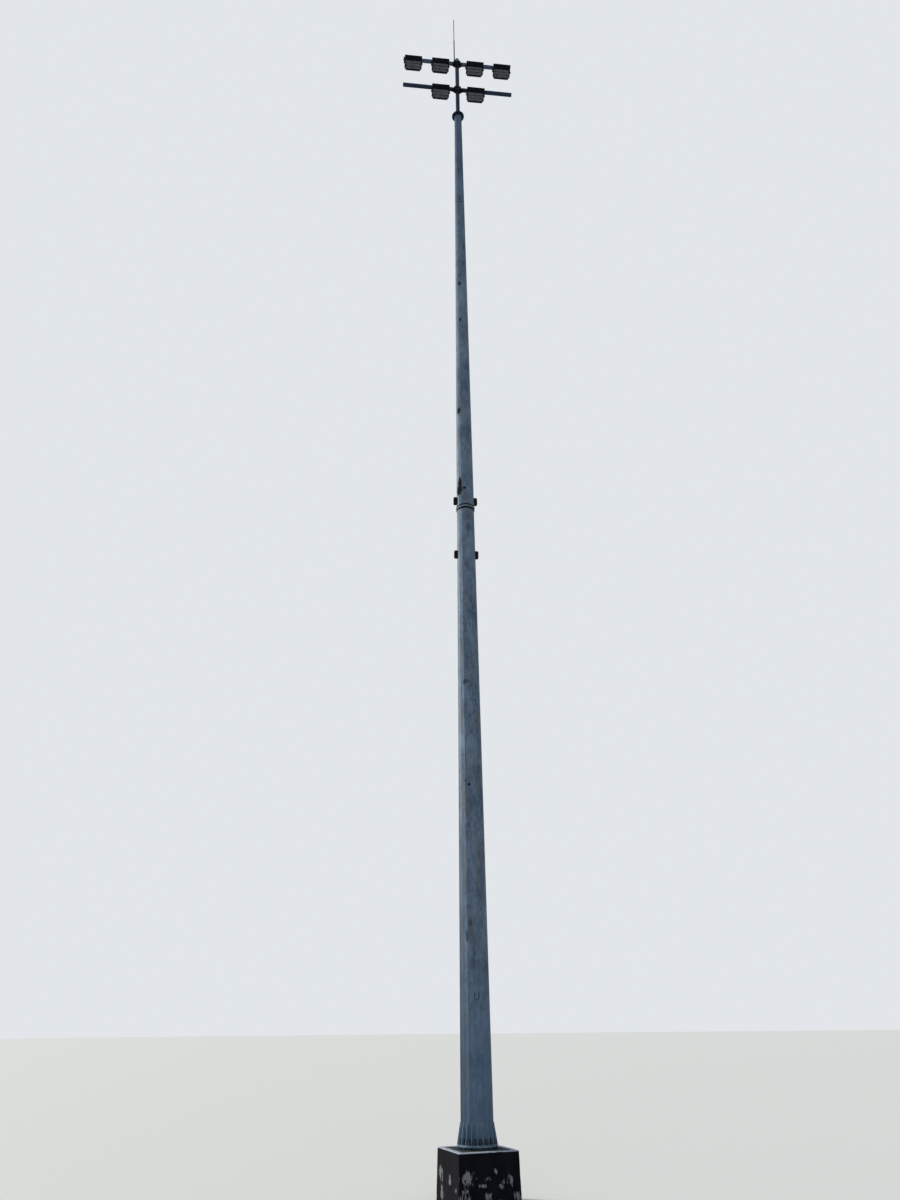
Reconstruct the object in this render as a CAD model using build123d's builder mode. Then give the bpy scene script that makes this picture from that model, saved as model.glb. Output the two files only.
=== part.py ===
from build123d import *
import os
from math import atan, cos, degrees, radians, sin, tan

os.makedirs("parts", exist_ok=True)

# A high mast floodlight tower: a two-section, sixteen-sided, tapered steel mast on a
# concrete block, with a bolted headframe of two crossarms that carries six floodlights.
# The origin is at ground level on the mast's axis, +Z is up, the crossarms run along X,
# and the floodlights face -Y. Sizes are in millimetres and degrees.

# Foundation block and the grout under the base plate
BLOCK_SIDE = 820.0
BLOCK_HEIGHT = 620.0
BLOCK_BATTER = 1.3
BLOCK_TURN = 13.8
BLOCK_ARRIS = 12.0
GROUT_DIAMETER = 440.0
GROUT_THICKNESS = 28.0

# Base plate, its holding-down bolts and its stiffening ribs
BASE_PLATE_DIAMETER = 535.0
BASE_PLATE_THICKNESS = 28.0
BASE_PLATE_BORE = 300.0
ANCHOR_COUNT = 20
ANCHOR_DIAMETER = 24.0
ANCHOR_HOLE = 28.0
ANCHOR_CIRCLE_RADIUS = 242.0
ANCHOR_NUT_WIDTH = 36.0
ANCHOR_NUT_HEIGHT = 22.0
ANCHOR_STUD_ABOVE = 70.0
RIB_THICKNESS = 8.0
RIB_HEIGHT = 246.0
RIB_TOE_HEIGHT = 16.0
RIB_HEAD_WIDTH = 10.0
RIB_EDGE_MARGIN = 5.0
RIB_TURN = -7.0

# Bolts, their holes, lug eyes, short round plates and straps have flat sides, to keep facets few
BOLT_SIDES = 8
PLATE_SIDES = 40
STRAP_SIDES = 28

# Mast shell. Widths are across the flats, and the taper is the width lost per metre
MAST_SIDES = 16
MAST_BASE_WIDTH = 430.0
MAST_TAPER = 14.3
LOWER_SECTION_LENGTH = 10036.0
LOWER_SECTION_WALL = 5.0
UPPER_SECTION_LENGTH = 10306.0
UPPER_SECTION_WALL = 4.0
SLIP_LAP = 450.0
SEAT_GAP = 0.3

# Access opening in the flat that faces -Y, with its cover on a frame inside
ACCESS_BOTTOM = 1744.0
ACCESS_HEIGHT = 580.0
ACCESS_WIDTH = 72.0
ACCESS_CORNER = 34.0
COVER_GAP = 1.5
FRAME_THICKNESS = 6.0
FRAME_LAP = 12.0

# Band at the sleeve's mouth and the lugs that draw the two sections together
RING_HEIGHT = 50.0
RING_THICKNESS = 5.0
LUG_HEIGHT = 135.0
LUG_WIDTH = 56.0
LUG_EYE_DIAMETER = 27.0
LUG_EYE_RADIUS_FROM_AXIS = 181.0
LUG_CORNER = 14.0
LOWER_LUG_BELOW_MOUTH = 880.0
UPPER_LUG_ABOVE_MOUTH = 190.0

# Bolted flanges between the mast and the headframe
FLANGE_DIAMETER = 268.0
FLANGE_THICKNESS = 16.0
FLANGE_BORE = 70.0
FLANGE_BOLT_COUNT = 8
FLANGE_BOLT_DIAMETER = 16.0
FLANGE_BOLT_HOLE = 18.0
FLANGE_BOLT_CIRCLE_RADIUS = 107.0
FLANGE_NUT_WIDTH = 24.0
FLANGE_NUT_HEIGHT = 13.0
FLANGE_BOLT_END = 6.0

# Headframe of tube
TUBE_DIAMETER = 89.0
TUBE_WALL = 4.0
POST_LENGTH = 1948.0
LOWER_ARM_ABOVE_FLANGE = 898.0
ARM_SPACING = 910.0
ARM_LENGTH = 2500.0
GUSSET_REACH = 110.0
GUSSET_DROP = 92.0
GUSSET_THICKNESS = 8.0
SADDLE_LENGTH = 156.0
SADDLE_DEPTH = 112.0
SADDLE_THICKNESS = 8.0
POST_CAP_THICKNESS = 8.0
POST_CAP_OVERHANG = 4.0

# Lightning rod, standing on the upper saddle plate against the post
ROD_DIAMETER = 25.0
ROD_LOWER_LENGTH = 800.0
ROD_TIP_DIAMETER = 16.0
ROD_TIP_LENGTH = 820.0
ROD_POINT_LENGTH = 40.0
ROD_CLAMP_HEIGHT = 40.0
ROD_CLAMP_BAND = 6.0

# Where the floodlights hang: the inner ones from the post's axis, the outer ones from the
# arm's end, and the lean and drop of a yoke
INNER_LAMP_FROM_POST = 400.0
OUTER_LAMP_FROM_END = 220.0
YOKE_LEAN = 18.0
YOKE_DROP = 255.0
LAMP_AIM = 50.0

# Yoke of flat bar with its tube clamp
YOKE_INSIDE = 412.0
YOKE_BAR_WIDTH = 40.0
YOKE_BAR_THICKNESS = 6.0
YOKE_TAIL = 24.0
YOKE_BEND = 14.0
CLAMP_STRAP = 6.0
CLAMP_WIDTH = 90.0
CLAMP_EAR = 28.0
CLAMP_PLATE = 8.0
PIVOT_DIAMETER = 12.0
PIVOT_CLEARANCE = 0.05

# Floodlight, drawn with its face towards +Z of its own plane and its pivot at the origin
LAMP_WIDTH = 396.0
LAMP_BELOW_PIVOT = 150.0
FRAME_ABOVE_PIVOT = 62.0
DRIVER_HEIGHT = 93.0
LAMP_FRONT = 32.0
LAMP_FRAME_DEPTH = 50.0
LAMP_CORNER_WIDTH = 42.0
LAMP_CORNER_HEIGHT = 50.0
LAMP_SIDE_RIM = 14.0
LAMP_BOTTOM_RIM = 28.0
LAMP_TOP_RIM = 6.0
LAMP_WEB_THICKNESS = 8.0
LAMP_WEB_RECESS = 26.0
FIN_COUNT = 15
FIN_THICKNESS = 3.0
FIN_DEPTH = 46.0
DRIVER_FRONT = 38.0
DRIVER_DEPTH = 76.0
DRIVER_EDGE = 7.0
MODULE_COUNT = 3
MODULE_HEIGHT = 48.0
MODULE_THICKNESS = 12.0
MODULE_EDGE = 3.0
MODULE_SIDE_MARGIN = 3.0
PIVOT_PAD_SIZE = 34.0
PIVOT_HEAD_WIDTH = 19.0
PIVOT_HEAD_HEIGHT = 8.0

# Levels that follow from the sizes above
PLATE_BOTTOM = BLOCK_HEIGHT + GROUT_THICKNESS
MAST_FOOT = PLATE_BOTTOM + BASE_PLATE_THICKNESS
LOWER_SECTION_TOP = MAST_FOOT + LOWER_SECTION_LENGTH
SLEEVE_MOUTH = LOWER_SECTION_TOP - SLIP_LAP
MAST_TOP = SLEEVE_MOUTH + UPPER_SECTION_LENGTH
FLANGE_JOINT = MAST_TOP + FLANGE_THICKNESS
POST_FOOT = FLANGE_JOINT + FLANGE_THICKNESS
POST_TOP = POST_FOOT + POST_LENGTH
LOWER_ARM_LEVEL = POST_FOOT + LOWER_ARM_ABOVE_FLANGE
UPPER_ARM_LEVEL = LOWER_ARM_LEVEL + ARM_SPACING
TUBE_RADIUS = TUBE_DIAMETER / 2
FLAT_LEAN = MAST_TAPER / 2 / 1000
ARM_LEVELS = {"lower": LOWER_ARM_LEVEL, "upper": UPPER_ARM_LEVEL}


def lower_width(level):
    """Width across the flats of the lower section at a level."""
    return MAST_BASE_WIDTH - MAST_TAPER * (level - MAST_FOOT) / 1000


def upper_width(level):
    """Width across the flats of the upper section, whose sleeve fits over the lower one."""
    sleeve = lower_width(SLEEVE_MOUTH) + 2 * (SEAT_GAP + UPPER_SECTION_WALL)
    return sleeve - MAST_TAPER * (level - SLEEVE_MOUTH) / 1000


def tapered_prism(width_at, bottom, top, growth=0.0):
    """Sixteen-sided tapered solid between two levels, grown or shrunk all round."""
    with BuildPart() as prism:
        with BuildSketch(Plane.XY.offset(bottom)):
            apothem = width_at(bottom) / 2 + growth
            RegularPolygon(apothem, MAST_SIDES, major_radius=False, rotation=180 / MAST_SIDES)
        extrude(amount=top - bottom, taper=degrees(atan(FLAT_LEAN)))
    return prism.part


def keep(builder, name):
    """Label a finished piece and write it to its file."""
    builder.part.label = name
    export_step(builder.part, f"parts/{name}.step")


# Foundation block: square, slightly wider at the ground, turned against the crossarms
with BuildPart() as foundation_block:
    foot_side = BLOCK_SIDE + 2 * BLOCK_HEIGHT * tan(radians(BLOCK_BATTER))
    with BuildSketch():
        Rectangle(foot_side, foot_side, rotation=BLOCK_TURN)
    extrude(amount=BLOCK_HEIGHT, taper=BLOCK_BATTER)
    standing_edges = foundation_block.edges() - foundation_block.edges().filter_by(Plane.XY)
    chamfer(standing_edges, BLOCK_ARRIS)
keep(foundation_block, "foundation_block")

with BuildPart() as grout_pad:
    with BuildSketch(Plane.XY.offset(BLOCK_HEIGHT)):
        RegularPolygon(GROUT_DIAMETER / 2, PLATE_SIDES)
    extrude(amount=GROUT_THICKNESS)
keep(grout_pad, "grout_pad")

# Base plate: a disc with an opening inside the mast and a hole for each holding-down bolt
ANCHOR_TURN = RIB_TURN + 180 / ANCHOR_COUNT
with BuildPart() as base_plate:
    with BuildSketch(Plane.XY.offset(PLATE_BOTTOM)):
        RegularPolygon(BASE_PLATE_DIAMETER / 2, PLATE_SIDES)
        RegularPolygon(
            BASE_PLATE_BORE / 2,
            MAST_SIDES,
            major_radius=False,
            rotation=180 / MAST_SIDES,
            mode=Mode.SUBTRACT,
        )
        with PolarLocations(ANCHOR_CIRCLE_RADIUS, ANCHOR_COUNT, start_angle=ANCHOR_TURN):
            RegularPolygon(
                ANCHOR_HOLE / 2, BOLT_SIDES, major_radius=False, mode=Mode.SUBTRACT
            )
    extrude(amount=BASE_PLATE_THICKNESS)
keep(base_plate, "base_plate")

# Holding-down bolts: studs out of the block, each with two nuts on the plate
with BuildPart() as anchor_bolts:
    anchor_places = PolarLocations(ANCHOR_CIRCLE_RADIUS, ANCHOR_COUNT, start_angle=ANCHOR_TURN)
    with BuildSketch(Plane.XY.offset(BLOCK_HEIGHT)):
        with anchor_places:
            RegularPolygon(ANCHOR_DIAMETER / 2, BOLT_SIDES)
    extrude(amount=MAST_FOOT + ANCHOR_STUD_ABOVE - BLOCK_HEIGHT)
    with BuildSketch(Plane.XY.offset(MAST_FOOT)):
        with anchor_places:
            RegularPolygon(ANCHOR_NUT_WIDTH / 2, 6, major_radius=False, rotation=30)
    extrude(amount=2 * ANCHOR_NUT_HEIGHT)
keep(anchor_bolts, "anchor_bolts")

# Stiffening ribs: tapered plates between the bolts, cut to seat on the mast's flats
with BuildPart() as rib_blank:
    rib_inside = MAST_BASE_WIDTH / 4
    rib_toe = BASE_PLATE_DIAMETER / 2 - RIB_EDGE_MARGIN
    rib_head = lower_width(MAST_FOOT + RIB_HEIGHT) / 2 + RIB_HEAD_WIDTH
    with BuildSketch(Plane.XZ):
        with BuildLine():
            Polyline(
                (rib_inside, MAST_FOOT),
                (rib_toe, MAST_FOOT),
                (rib_toe, MAST_FOOT + RIB_TOE_HEIGHT),
                (rib_head, MAST_FOOT + RIB_HEIGHT),
                (rib_inside, MAST_FOOT + RIB_HEIGHT),
                close=True,
            )
        make_face()
    extrude(amount=RIB_THICKNESS / 2, both=True)
with BuildPart() as base_ribs:
    with PolarLocations(0, ANCHOR_COUNT, start_angle=RIB_TURN):
        add(rib_blank.part)
    add(tapered_prism(lower_width, MAST_FOOT, MAST_FOOT + RIB_HEIGHT), mode=Mode.SUBTRACT)
keep(base_ribs, "base_ribs")

# The flat with the access opening leans back with the taper
ACCESS_MIDDLE = MAST_FOOT + ACCESS_BOTTOM + ACCESS_HEIGHT / 2
ACCESS_PLANE = Plane(
    origin=(0, -lower_width(ACCESS_MIDDLE) / 2, ACCESS_MIDDLE),
    x_dir=(1, 0, 0),
    z_dir=(0, -1, FLAT_LEAN),
)

# Lower section, with the access opening and the frame welded behind it
with BuildPart() as mast_lower_section:
    add(tapered_prism(lower_width, MAST_FOOT, LOWER_SECTION_TOP))
    lower_bore = tapered_prism(lower_width, MAST_FOOT, LOWER_SECTION_TOP, -LOWER_SECTION_WALL)
    add(lower_bore, mode=Mode.SUBTRACT)
    with BuildSketch(ACCESS_PLANE.offset(-LOWER_SECTION_WALL)):
        RectangleRounded(
            ACCESS_WIDTH + 2 * FRAME_LAP, ACCESS_HEIGHT + 2 * FRAME_LAP, ACCESS_CORNER
        )
    extrude(amount=-FRAME_THICKNESS)
    with BuildSketch(ACCESS_PLANE):
        RectangleRounded(ACCESS_WIDTH, ACCESS_HEIGHT, ACCESS_CORNER)
    extrude(amount=-LOWER_SECTION_WALL, mode=Mode.SUBTRACT)
    with BuildSketch(ACCESS_PLANE):
        RectangleRounded(
            ACCESS_WIDTH - 2 * FRAME_LAP,
            ACCESS_HEIGHT - 2 * FRAME_LAP,
            ACCESS_CORNER - FRAME_LAP,
        )
    extrude(amount=-LOWER_SECTION_WALL - FRAME_THICKNESS, mode=Mode.SUBTRACT)
keep(mast_lower_section, "mast_lower_section")

with BuildPart() as access_cover:
    with BuildSketch(ACCESS_PLANE):
        RectangleRounded(
            ACCESS_WIDTH - 2 * COVER_GAP,
            ACCESS_HEIGHT - 2 * COVER_GAP,
            ACCESS_CORNER - COVER_GAP,
        )
    extrude(amount=-LOWER_SECTION_WALL)
keep(access_cover, "access_cover")

# Upper section, its mouth sleeved over the top of the lower section
with BuildPart() as mast_upper_section:
    add(tapered_prism(upper_width, SLEEVE_MOUTH, MAST_TOP))
    upper_bore = tapered_prism(upper_width, SLEEVE_MOUTH, MAST_TOP, -UPPER_SECTION_WALL)
    add(upper_bore, mode=Mode.SUBTRACT)
keep(mast_upper_section, "mast_upper_section")

with BuildPart() as slip_joint_ring:
    ring_top = SLEEVE_MOUTH + RING_HEIGHT
    add(tapered_prism(upper_width, SLEEVE_MOUTH, ring_top, SEAT_GAP + RING_THICKNESS))
    add(tapered_prism(upper_width, SLEEVE_MOUTH, ring_top, SEAT_GAP), mode=Mode.SUBTRACT)
keep(slip_joint_ring, "slip_joint_ring")


def jacking_lugs(width_at, middle):
    """A block with an upright eye for a jacking bar, on both sides of the mast."""
    reach = LUG_EYE_RADIUS_FROM_AXIS + LUG_WIDTH / 2
    with BuildPart() as lugs:
        with BuildSketch(Plane.XZ) as side_view:
            with Locations((0, middle)):
                Rectangle(2 * reach, LUG_HEIGHT)
            chamfer(side_view.vertices(), LUG_CORNER)
        extrude(amount=LUG_WIDTH / 2, both=True)
        with BuildSketch(Plane.XY.offset(middle)):
            with Locations((-LUG_EYE_RADIUS_FROM_AXIS, 0), (LUG_EYE_RADIUS_FROM_AXIS, 0)):
                RegularPolygon(LUG_EYE_DIAMETER / 2, STRAP_SIDES, major_radius=False)
        extrude(amount=LUG_HEIGHT, both=True, mode=Mode.SUBTRACT)
        add(
            tapered_prism(width_at, middle - LUG_HEIGHT, middle + LUG_HEIGHT),
            mode=Mode.SUBTRACT,
        )
    return lugs


keep(jacking_lugs(lower_width, SLEEVE_MOUTH - LOWER_LUG_BELOW_MOUTH), "lower_jacking_lugs")
keep(jacking_lugs(upper_width, SLEEVE_MOUTH + UPPER_LUG_ABOVE_MOUTH), "upper_jacking_lugs")


def head_flange(level):
    """Disc with a cable opening and a circle of bolt holes, standing on a level."""
    with BuildPart() as flange:
        with BuildSketch(Plane.XY.offset(level)):
            RegularPolygon(FLANGE_DIAMETER / 2, PLATE_SIDES)
            RegularPolygon(FLANGE_BORE / 2, MAST_SIDES, major_radius=False, mode=Mode.SUBTRACT)
            with PolarLocations(FLANGE_BOLT_CIRCLE_RADIUS, FLANGE_BOLT_COUNT):
                RegularPolygon(
                    FLANGE_BOLT_HOLE / 2, BOLT_SIDES, major_radius=False, mode=Mode.SUBTRACT
                )
        extrude(amount=FLANGE_THICKNESS)
    return flange


keep(head_flange(MAST_TOP), "mast_head_flange")
keep(head_flange(FLANGE_JOINT), "headframe_flange")

with BuildPart() as flange_bolts:
    bolt_places = PolarLocations(FLANGE_BOLT_CIRCLE_RADIUS, FLANGE_BOLT_COUNT)
    bolt_bottom = MAST_TOP - FLANGE_NUT_HEIGHT - FLANGE_BOLT_END
    with BuildSketch(Plane.XY.offset(bolt_bottom)):
        with bolt_places:
            RegularPolygon(FLANGE_BOLT_DIAMETER / 2, BOLT_SIDES)
    extrude(amount=POST_FOOT - bolt_bottom)
    for level, height in ((MAST_TOP, -FLANGE_NUT_HEIGHT), (POST_FOOT, FLANGE_NUT_HEIGHT)):
        with BuildSketch(Plane.XY.offset(level)):
            with bolt_places:
                RegularPolygon(FLANGE_NUT_WIDTH / 2, 6, major_radius=False, rotation=30)
        extrude(amount=height)
keep(flange_bolts, "flange_bolts")

# Headframe post, a tube under a flat cap
with BuildPart() as headframe_post:
    with BuildSketch(Plane.XY.offset(POST_FOOT)):
        Circle(TUBE_RADIUS)
        Circle(TUBE_RADIUS - TUBE_WALL, mode=Mode.SUBTRACT)
    extrude(amount=POST_LENGTH)
keep(headframe_post, "headframe_post")

with BuildPart() as post_cap:
    with BuildSketch(Plane.XY.offset(POST_TOP)):
        RegularPolygon(TUBE_RADIUS + POST_CAP_OVERHANG, PLATE_SIDES)
    extrude(amount=POST_CAP_THICKNESS)
keep(post_cap, "post_cap")


def post_space(bottom, top):
    """The post and its seat gap between two levels, to be cut from what meets the post."""
    with BuildPart() as space:
        with BuildSketch(Plane.XY.offset(bottom)):
            Circle(TUBE_RADIUS + SEAT_GAP)
        extrude(amount=top - bottom)
    return space.part


def crossarm(level):
    """Tube along X with closed ends, cut to saddle on both sides of the post."""
    with BuildPart() as arm:
        with BuildSketch(Plane.YZ.offset(-ARM_LENGTH / 2)):
            with Locations((0, level)):
                Circle(TUBE_RADIUS)
        extrude(amount=ARM_LENGTH)
        with BuildSketch(Plane.YZ.offset(-ARM_LENGTH / 2 + TUBE_WALL)):
            with Locations((0, level)):
                Circle(TUBE_RADIUS - TUBE_WALL)
        extrude(amount=ARM_LENGTH - 2 * TUBE_WALL, mode=Mode.SUBTRACT)
        add(post_space(level - TUBE_DIAMETER, level + TUBE_DIAMETER), mode=Mode.SUBTRACT)
    return arm


for name, level in ARM_LEVELS.items():
    keep(crossarm(level), f"{name}_crossarm")

# Triangular gussets in the corners between the post and the undersides of the arms
with BuildPart() as crossarm_gussets:
    for level in ARM_LEVELS.values():
        gusset_reach = TUBE_RADIUS + GUSSET_REACH
        gusset_foot = level - TUBE_RADIUS - GUSSET_DROP
        with BuildSketch(Plane.XZ):
            with BuildLine():
                Polyline(
                    (-gusset_reach, level - TUBE_RADIUS),
                    (-TUBE_RADIUS, gusset_foot),
                    (TUBE_RADIUS, gusset_foot),
                    (gusset_reach, level - TUBE_RADIUS),
                    (gusset_reach, level),
                    (-gusset_reach, level),
                    close=True,
                )
            make_face()
        extrude(amount=GUSSET_THICKNESS / 2, both=True)
        with BuildSketch(Plane.YZ.offset(-gusset_reach)):
            with Locations((0, level)):
                Circle(TUBE_RADIUS + SEAT_GAP)
        extrude(amount=2 * gusset_reach, mode=Mode.SUBTRACT)
        add(post_space(gusset_foot, level), mode=Mode.SUBTRACT)
keep(crossarm_gussets, "crossarm_gussets")

# Saddle plates over the arms, with the post passing up through them
with BuildPart() as saddle_plates:
    for level in ARM_LEVELS.values():
        with BuildSketch(Plane.XY.offset(level + TUBE_RADIUS)):
            Rectangle(SADDLE_LENGTH, SADDLE_DEPTH)
            RegularPolygon(
                TUBE_RADIUS + SEAT_GAP, PLATE_SIDES, major_radius=False, mode=Mode.SUBTRACT
            )
        extrude(amount=SADDLE_THICKNESS)
keep(saddle_plates, "saddle_plates")

# Lightning rod in two diameters with a pointed tip, and the bracket that ties it to the post
ROD_FOOT = UPPER_ARM_LEVEL + TUBE_RADIUS + SADDLE_THICKNESS
ROD_X = -(TUBE_RADIUS + POST_CAP_OVERHANG + SEAT_GAP + ROD_DIAMETER / 2)
with BuildPart() as lightning_rod:
    with BuildSketch(Plane.XZ):
        with BuildLine():
            rod_shoulder = ROD_FOOT + ROD_LOWER_LENGTH
            rod_top = rod_shoulder + ROD_TIP_LENGTH
            Polyline(
                (ROD_X, ROD_FOOT),
                (ROD_X + ROD_DIAMETER / 2, ROD_FOOT),
                (ROD_X + ROD_DIAMETER / 2, rod_shoulder),
                (ROD_X + ROD_TIP_DIAMETER / 2, rod_shoulder),
                (ROD_X + ROD_TIP_DIAMETER / 2, rod_top - ROD_POINT_LENGTH),
                (ROD_X, rod_top),
                close=True,
            )
        make_face()
    revolve(axis=Axis((ROD_X, 0, 0), (0, 0, 1)))
keep(lightning_rod, "lightning_rod")

with BuildPart() as rod_clamp:
    rod_space = ROD_DIAMETER / 2 + SEAT_GAP
    bracket_end = ROD_X - rod_space - ROD_CLAMP_BAND
    bracket_seat = -TUBE_RADIUS - SEAT_GAP
    with BuildSketch(Plane.XY.offset(ROD_FOOT)):
        with Locations(((bracket_end + bracket_seat) / 2, 0)):
            Rectangle(bracket_seat - bracket_end, 2 * (rod_space + ROD_CLAMP_BAND))
        with Locations((ROD_X, 0)):
            RegularPolygon(
                rod_space, STRAP_SIDES, major_radius=False, mode=Mode.SUBTRACT
            )
    extrude(amount=ROD_CLAMP_HEIGHT)
keep(rod_clamp, "rod_clamp")

# A yoke's own plane: origin on the arm's axis, +Y of the plane pointing up the yoke
LEAN_SIN = sin(radians(YOKE_LEAN))
LEAN_COS = cos(radians(YOKE_LEAN))


def yoke_plane(x, level):
    """Plane of a yoke, leaning forward about the axis of its crossarm."""
    return Plane(origin=(x, 0, level), x_dir=(1, 0, 0), z_dir=(0, -LEAN_COS, LEAN_SIN))


def yoke(x, level):
    """Bent flat bar with a bolted clamp round the crossarm, at one place on an arm."""
    plane = yoke_plane(x, level)
    web_top = -(TUBE_RADIUS + SEAT_GAP + CLAMP_PLATE)
    half_inside = YOKE_INSIDE / 2
    half_outside = half_inside + YOKE_BAR_THICKNESS
    tail = -YOKE_DROP - YOKE_TAIL
    with BuildPart() as bracket:
        with BuildSketch(plane):
            with BuildLine():
                FilletPolyline(
                    (-half_outside, tail),
                    (-half_outside, web_top),
                    (half_outside, web_top),
                    (half_outside, tail),
                    radius=YOKE_BEND,
                )
                Line((half_outside, tail), (half_inside, tail))
                FilletPolyline(
                    (half_inside, tail),
                    (half_inside, web_top - YOKE_BAR_THICKNESS),
                    (-half_inside, web_top - YOKE_BAR_THICKNESS),
                    (-half_inside, tail),
                    radius=YOKE_BEND - YOKE_BAR_THICKNESS,
                )
                Line((-half_inside, tail), (-half_outside, tail))
            make_face()
        extrude(amount=YOKE_BAR_WIDTH / 2, both=True)
        side = Plane(origin=(x, 0, level), x_dir=(0, LEAN_COS, -LEAN_SIN), z_dir=(1, 0, 0))
        clamp_outside = TUBE_RADIUS + SEAT_GAP + CLAMP_STRAP
        with BuildSketch(side):
            RegularPolygon(clamp_outside, STRAP_SIDES)
            with Locations((0, web_top / 2)):
                Rectangle(2 * (clamp_outside + CLAMP_EAR), -web_top)
            with Locations((0, (web_top + CLAMP_PLATE) / 2)):
                Rectangle(
                    2 * (clamp_outside + CLAMP_EAR) + 2,
                    -(web_top + CLAMP_PLATE) - 2 * CLAMP_STRAP,
                    mode=Mode.SUBTRACT,
                )
        extrude(amount=CLAMP_WIDTH / 2, both=True)
        with BuildSketch(side):
            RegularPolygon(clamp_outside, STRAP_SIDES)
        extrude(amount=CLAMP_WIDTH / 2, both=True)
        with BuildSketch(side):
            RegularPolygon(TUBE_RADIUS + SEAT_GAP, STRAP_SIDES, major_radius=False)
        extrude(amount=CLAMP_WIDTH, both=True, mode=Mode.SUBTRACT)
        with BuildSketch(side):
            with Locations((0, -YOKE_DROP)):
                RegularPolygon(
                    PIVOT_DIAMETER / 2 + PIVOT_CLEARANCE, BOLT_SIDES, major_radius=False
                )
        extrude(amount=half_outside, both=True, mode=Mode.SUBTRACT)
    return bracket


# A floodlight's own plane: origin on the pivot, +Z along its aim, +Y up its face
AIM_SIN = sin(radians(LAMP_AIM))
AIM_COS = cos(radians(LAMP_AIM))


def lamp_plane(x, level):
    """Plane of a floodlight at its pivot, facing along its aim."""
    pivot = (x, -YOKE_DROP * LEAN_SIN, level - YOKE_DROP * LEAN_COS)
    return Plane(origin=pivot, x_dir=(1, 0, 0), z_dir=(0, -AIM_COS, -AIM_SIN))


def lamp_outline():
    """Face of the frame: square at the top, with its two lower corners cut off."""
    half_width = LAMP_WIDTH / 2
    with BuildSketch() as outline:
        with BuildLine():
            Polyline(
                (-half_width, FRAME_ABOVE_PIVOT),
                (half_width, FRAME_ABOVE_PIVOT),
                (half_width, -LAMP_BELOW_PIVOT + LAMP_CORNER_HEIGHT),
                (half_width - LAMP_CORNER_WIDTH, -LAMP_BELOW_PIVOT),
                (-half_width + LAMP_CORNER_WIDTH, -LAMP_BELOW_PIVOT),
                (-half_width, -LAMP_BELOW_PIVOT + LAMP_CORNER_HEIGHT),
                close=True,
            )
        make_face()
    return outline.sketch


WINDOW_WIDTH = LAMP_WIDTH - 2 * LAMP_SIDE_RIM
WINDOW_BOTTOM = -LAMP_BELOW_PIVOT + LAMP_BOTTOM_RIM
WINDOW_TOP = FRAME_ABOVE_PIVOT - LAMP_TOP_RIM
WINDOW_HEIGHT = WINDOW_TOP - WINDOW_BOTTOM
WINDOW_MIDDLE = (WINDOW_TOP + WINDOW_BOTTOM) / 2
WEB_FRONT = LAMP_FRONT - LAMP_WEB_RECESS
WEB_BACK = WEB_FRONT - LAMP_WEB_THICKNESS
FIN_PITCH = WINDOW_WIDTH / (FIN_COUNT + 1)


def lamp_housing(x, level):
    """Cast frame with a recessed web, cooling fins behind it and its two pivot bolts."""
    plane = lamp_plane(x, level)
    with BuildPart() as housing:
        with BuildSketch(plane.offset(LAMP_FRONT)):
            add(lamp_outline())
        extrude(amount=-LAMP_FRAME_DEPTH)
        with BuildSketch(plane.offset(LAMP_FRONT)):
            with Locations((0, WINDOW_MIDDLE)):
                Rectangle(WINDOW_WIDTH, WINDOW_HEIGHT)
        extrude(amount=-LAMP_WEB_RECESS, mode=Mode.SUBTRACT)
        with BuildSketch(plane.offset(WEB_BACK)):
            with Locations((0, WINDOW_MIDDLE)):
                Rectangle(WINDOW_WIDTH, WINDOW_HEIGHT)
        extrude(amount=-LAMP_FRAME_DEPTH, mode=Mode.SUBTRACT)
        with BuildSketch(plane.offset(WEB_BACK)):
            with Locations((0, WINDOW_MIDDLE)):
                with GridLocations(FIN_PITCH, 1, FIN_COUNT, 1):
                    Rectangle(FIN_THICKNESS, WINDOW_HEIGHT)
        extrude(amount=-FIN_DEPTH)
        yoke_side = YOKE_INSIDE / 2 - SEAT_GAP
        bolt_seat = YOKE_INSIDE / 2 + YOKE_BAR_THICKNESS + SEAT_GAP
        pivot_side = Plane(
            origin=plane.origin, x_dir=plane.y_dir, z_dir=plane.x_dir
        )
        for direction in (1, -1):
            with BuildSketch(pivot_side.offset(direction * LAMP_WIDTH / 2)):
                Rectangle(PIVOT_PAD_SIZE, PIVOT_PAD_SIZE)
            extrude(amount=direction * (yoke_side - LAMP_WIDTH / 2))
            with BuildSketch(pivot_side.offset(direction * yoke_side)):
                RegularPolygon(PIVOT_DIAMETER / 2, BOLT_SIDES)
            extrude(amount=direction * (bolt_seat - yoke_side))
            with BuildSketch(pivot_side.offset(direction * bolt_seat)):
                RegularPolygon(PIVOT_HEAD_WIDTH / 2, 6, major_radius=False)
            extrude(amount=direction * PIVOT_HEAD_HEIGHT)
    return housing


def driver_box(x, level):
    """Closed box across the top of the frame that holds the lamp's power supply."""
    plane = lamp_plane(x, level)
    with BuildPart() as driver:
        with BuildSketch(plane.offset(DRIVER_FRONT)):
            with Locations((0, FRAME_ABOVE_PIVOT + DRIVER_HEIGHT / 2)):
                Rectangle(LAMP_WIDTH, DRIVER_HEIGHT)
        extrude(amount=-DRIVER_DEPTH)
        long_edges = driver.edges().filter_by(Axis.X).sort_by(Axis.Z)
        chamfer(long_edges[-2:], DRIVER_EDGE)
    return driver


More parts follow.
